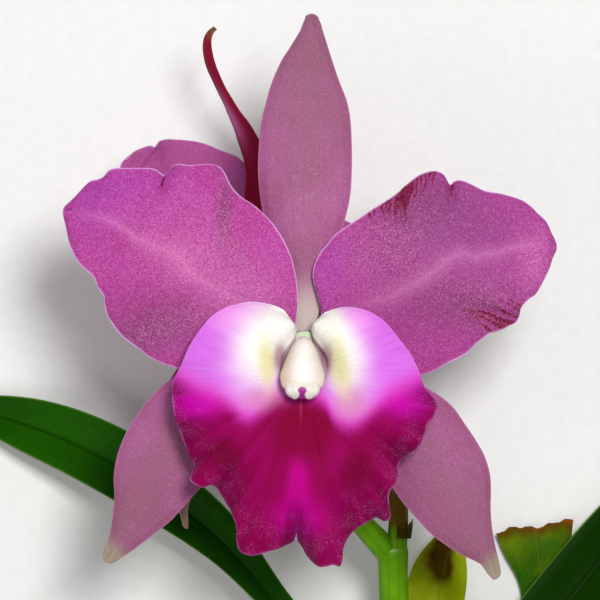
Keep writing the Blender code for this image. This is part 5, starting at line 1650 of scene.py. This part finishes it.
def end_disc(ring, count):
    """Rings that shrink from the given one towards its middle, for a flat cut face."""
    shrink = np.linspace(1.0, 0.04, count)[1:, None, None]
    centre = ring.mean(axis=0)
    return centre + (ring - centre) * shrink


SKINS["cane"] = cane_paint()
body, _, fields = stalk_rings(CANE_ROUTE, CANE_RADII, **CANE)
cut_face = end_disc(body[0], 14)[::-1]
rings = np.concatenate([cut_face, body, end_disc(body[-1], 8)])
rings[..., 2] = np.maximum(rings[..., 2], TABLE)
on_cut = np.arange(len(rings))[:, None] < len(cut_face)
add_body("cane", rings, {"groove": fields["groove"], "cut": on_cut.astype(float)}, "cane")

# %% [markdown]
# ## Studio
#
# A pale sheet of paper under the shoot, a large soft light near the camera as the photo's own flash
# was, a weaker one from the side for the relief, and an even sky. One small lamp would be truer to a
# flash, but its hard shadows would hide the stalks.

# %% Floor and lights
FLOOR_REACH = 2.0
FLOOR_DROP = 0.0002


def floor_paint():
    """Pale paper with a fine tooth."""
    paint = Paint("studio_paper", Specular_IOR_Level=0.2)
    tooth = paint.noise(300.0, 3.0)
    colour = paint.coats((228, 228, 226), (tooth, (0.3, 0.7), (231, 231, 229)))
    return paint.finish(colour, 0.8, tooth, 0.00002)


floor_mesh = bpy.data.meshes.new("studio_floor")
corners = [(FLOOR_REACH * x, FLOOR_REACH * y, -FLOOR_DROP) for x, y in ((-1, -1), (1, -1), (1, 1), (-1, 1))]
floor_mesh.from_pydata(corners, [], [(0, 1, 2, 3)])
floor_mesh.materials.append(floor_paint())
floor = bpy.data.objects.new("studio_floor", floor_mesh)
bpy.context.scene.collection.objects.link(floor)


def add_light(name, place, size, power, target):
    """A square soft light that looks at the target."""
    light = bpy.data.lights.new(name, "AREA")
    light.size = size
    light.energy = power
    lamp = bpy.data.objects.new(name, light)
    bpy.context.scene.collection.objects.link(lamp)
    lamp.location = place
    lamp.rotation_euler = (Vector(target) - Vector(place)).to_track_quat("-Z", "Y").to_euler()


bloom = FRONT_HUB * MM
add_light("flash_side_light", bloom + np.array([0.12, 0.16, 0.62]), size=0.16, power=4.2, target=bloom)
add_light("fill_light", bloom + np.array([-0.5, -0.3, 0.5]), size=0.6, power=1.6, target=bloom)
world = bpy.data.worlds.new("studio_sky")
world.use_nodes = True
sky = world.node_tree.nodes["Background"].inputs
sky["Color"].default_value = (1.0, 1.0, 1.0, 1.0)
sky["Strength"].default_value = 0.3
bpy.context.scene.world = world

# %% [markdown]
# ## The camera
#
# The photo looks the front bloom straight in the face. The shoot lies on its back, so the camera
# hangs over it and looks straight down, with the photo's upper edge towards +Y. A long lens from
# 0.6 m keeps the petals' proportions as a close portrait has them.

# %% Camera and tone
CAMERA_OFFSET = np.array([-1.0, 11.25, 600.0])
camera = bpy.data.objects.new("portrait_camera", bpy.data.cameras.new("portrait_camera"))
bpy.context.scene.collection.objects.link(camera)
camera.data.lens = 144.0
camera.data.sensor_width = 36.0
camera.location = (FRONT_HUB + CAMERA_OFFSET) * MM
camera.rotation_euler = (0.0, 0.0, 0.0)
bpy.context.scene.camera = camera
bpy.context.scene.view_settings.view_transform = "Standard"
print("camera at", [round(value, 4) for value in camera.location])
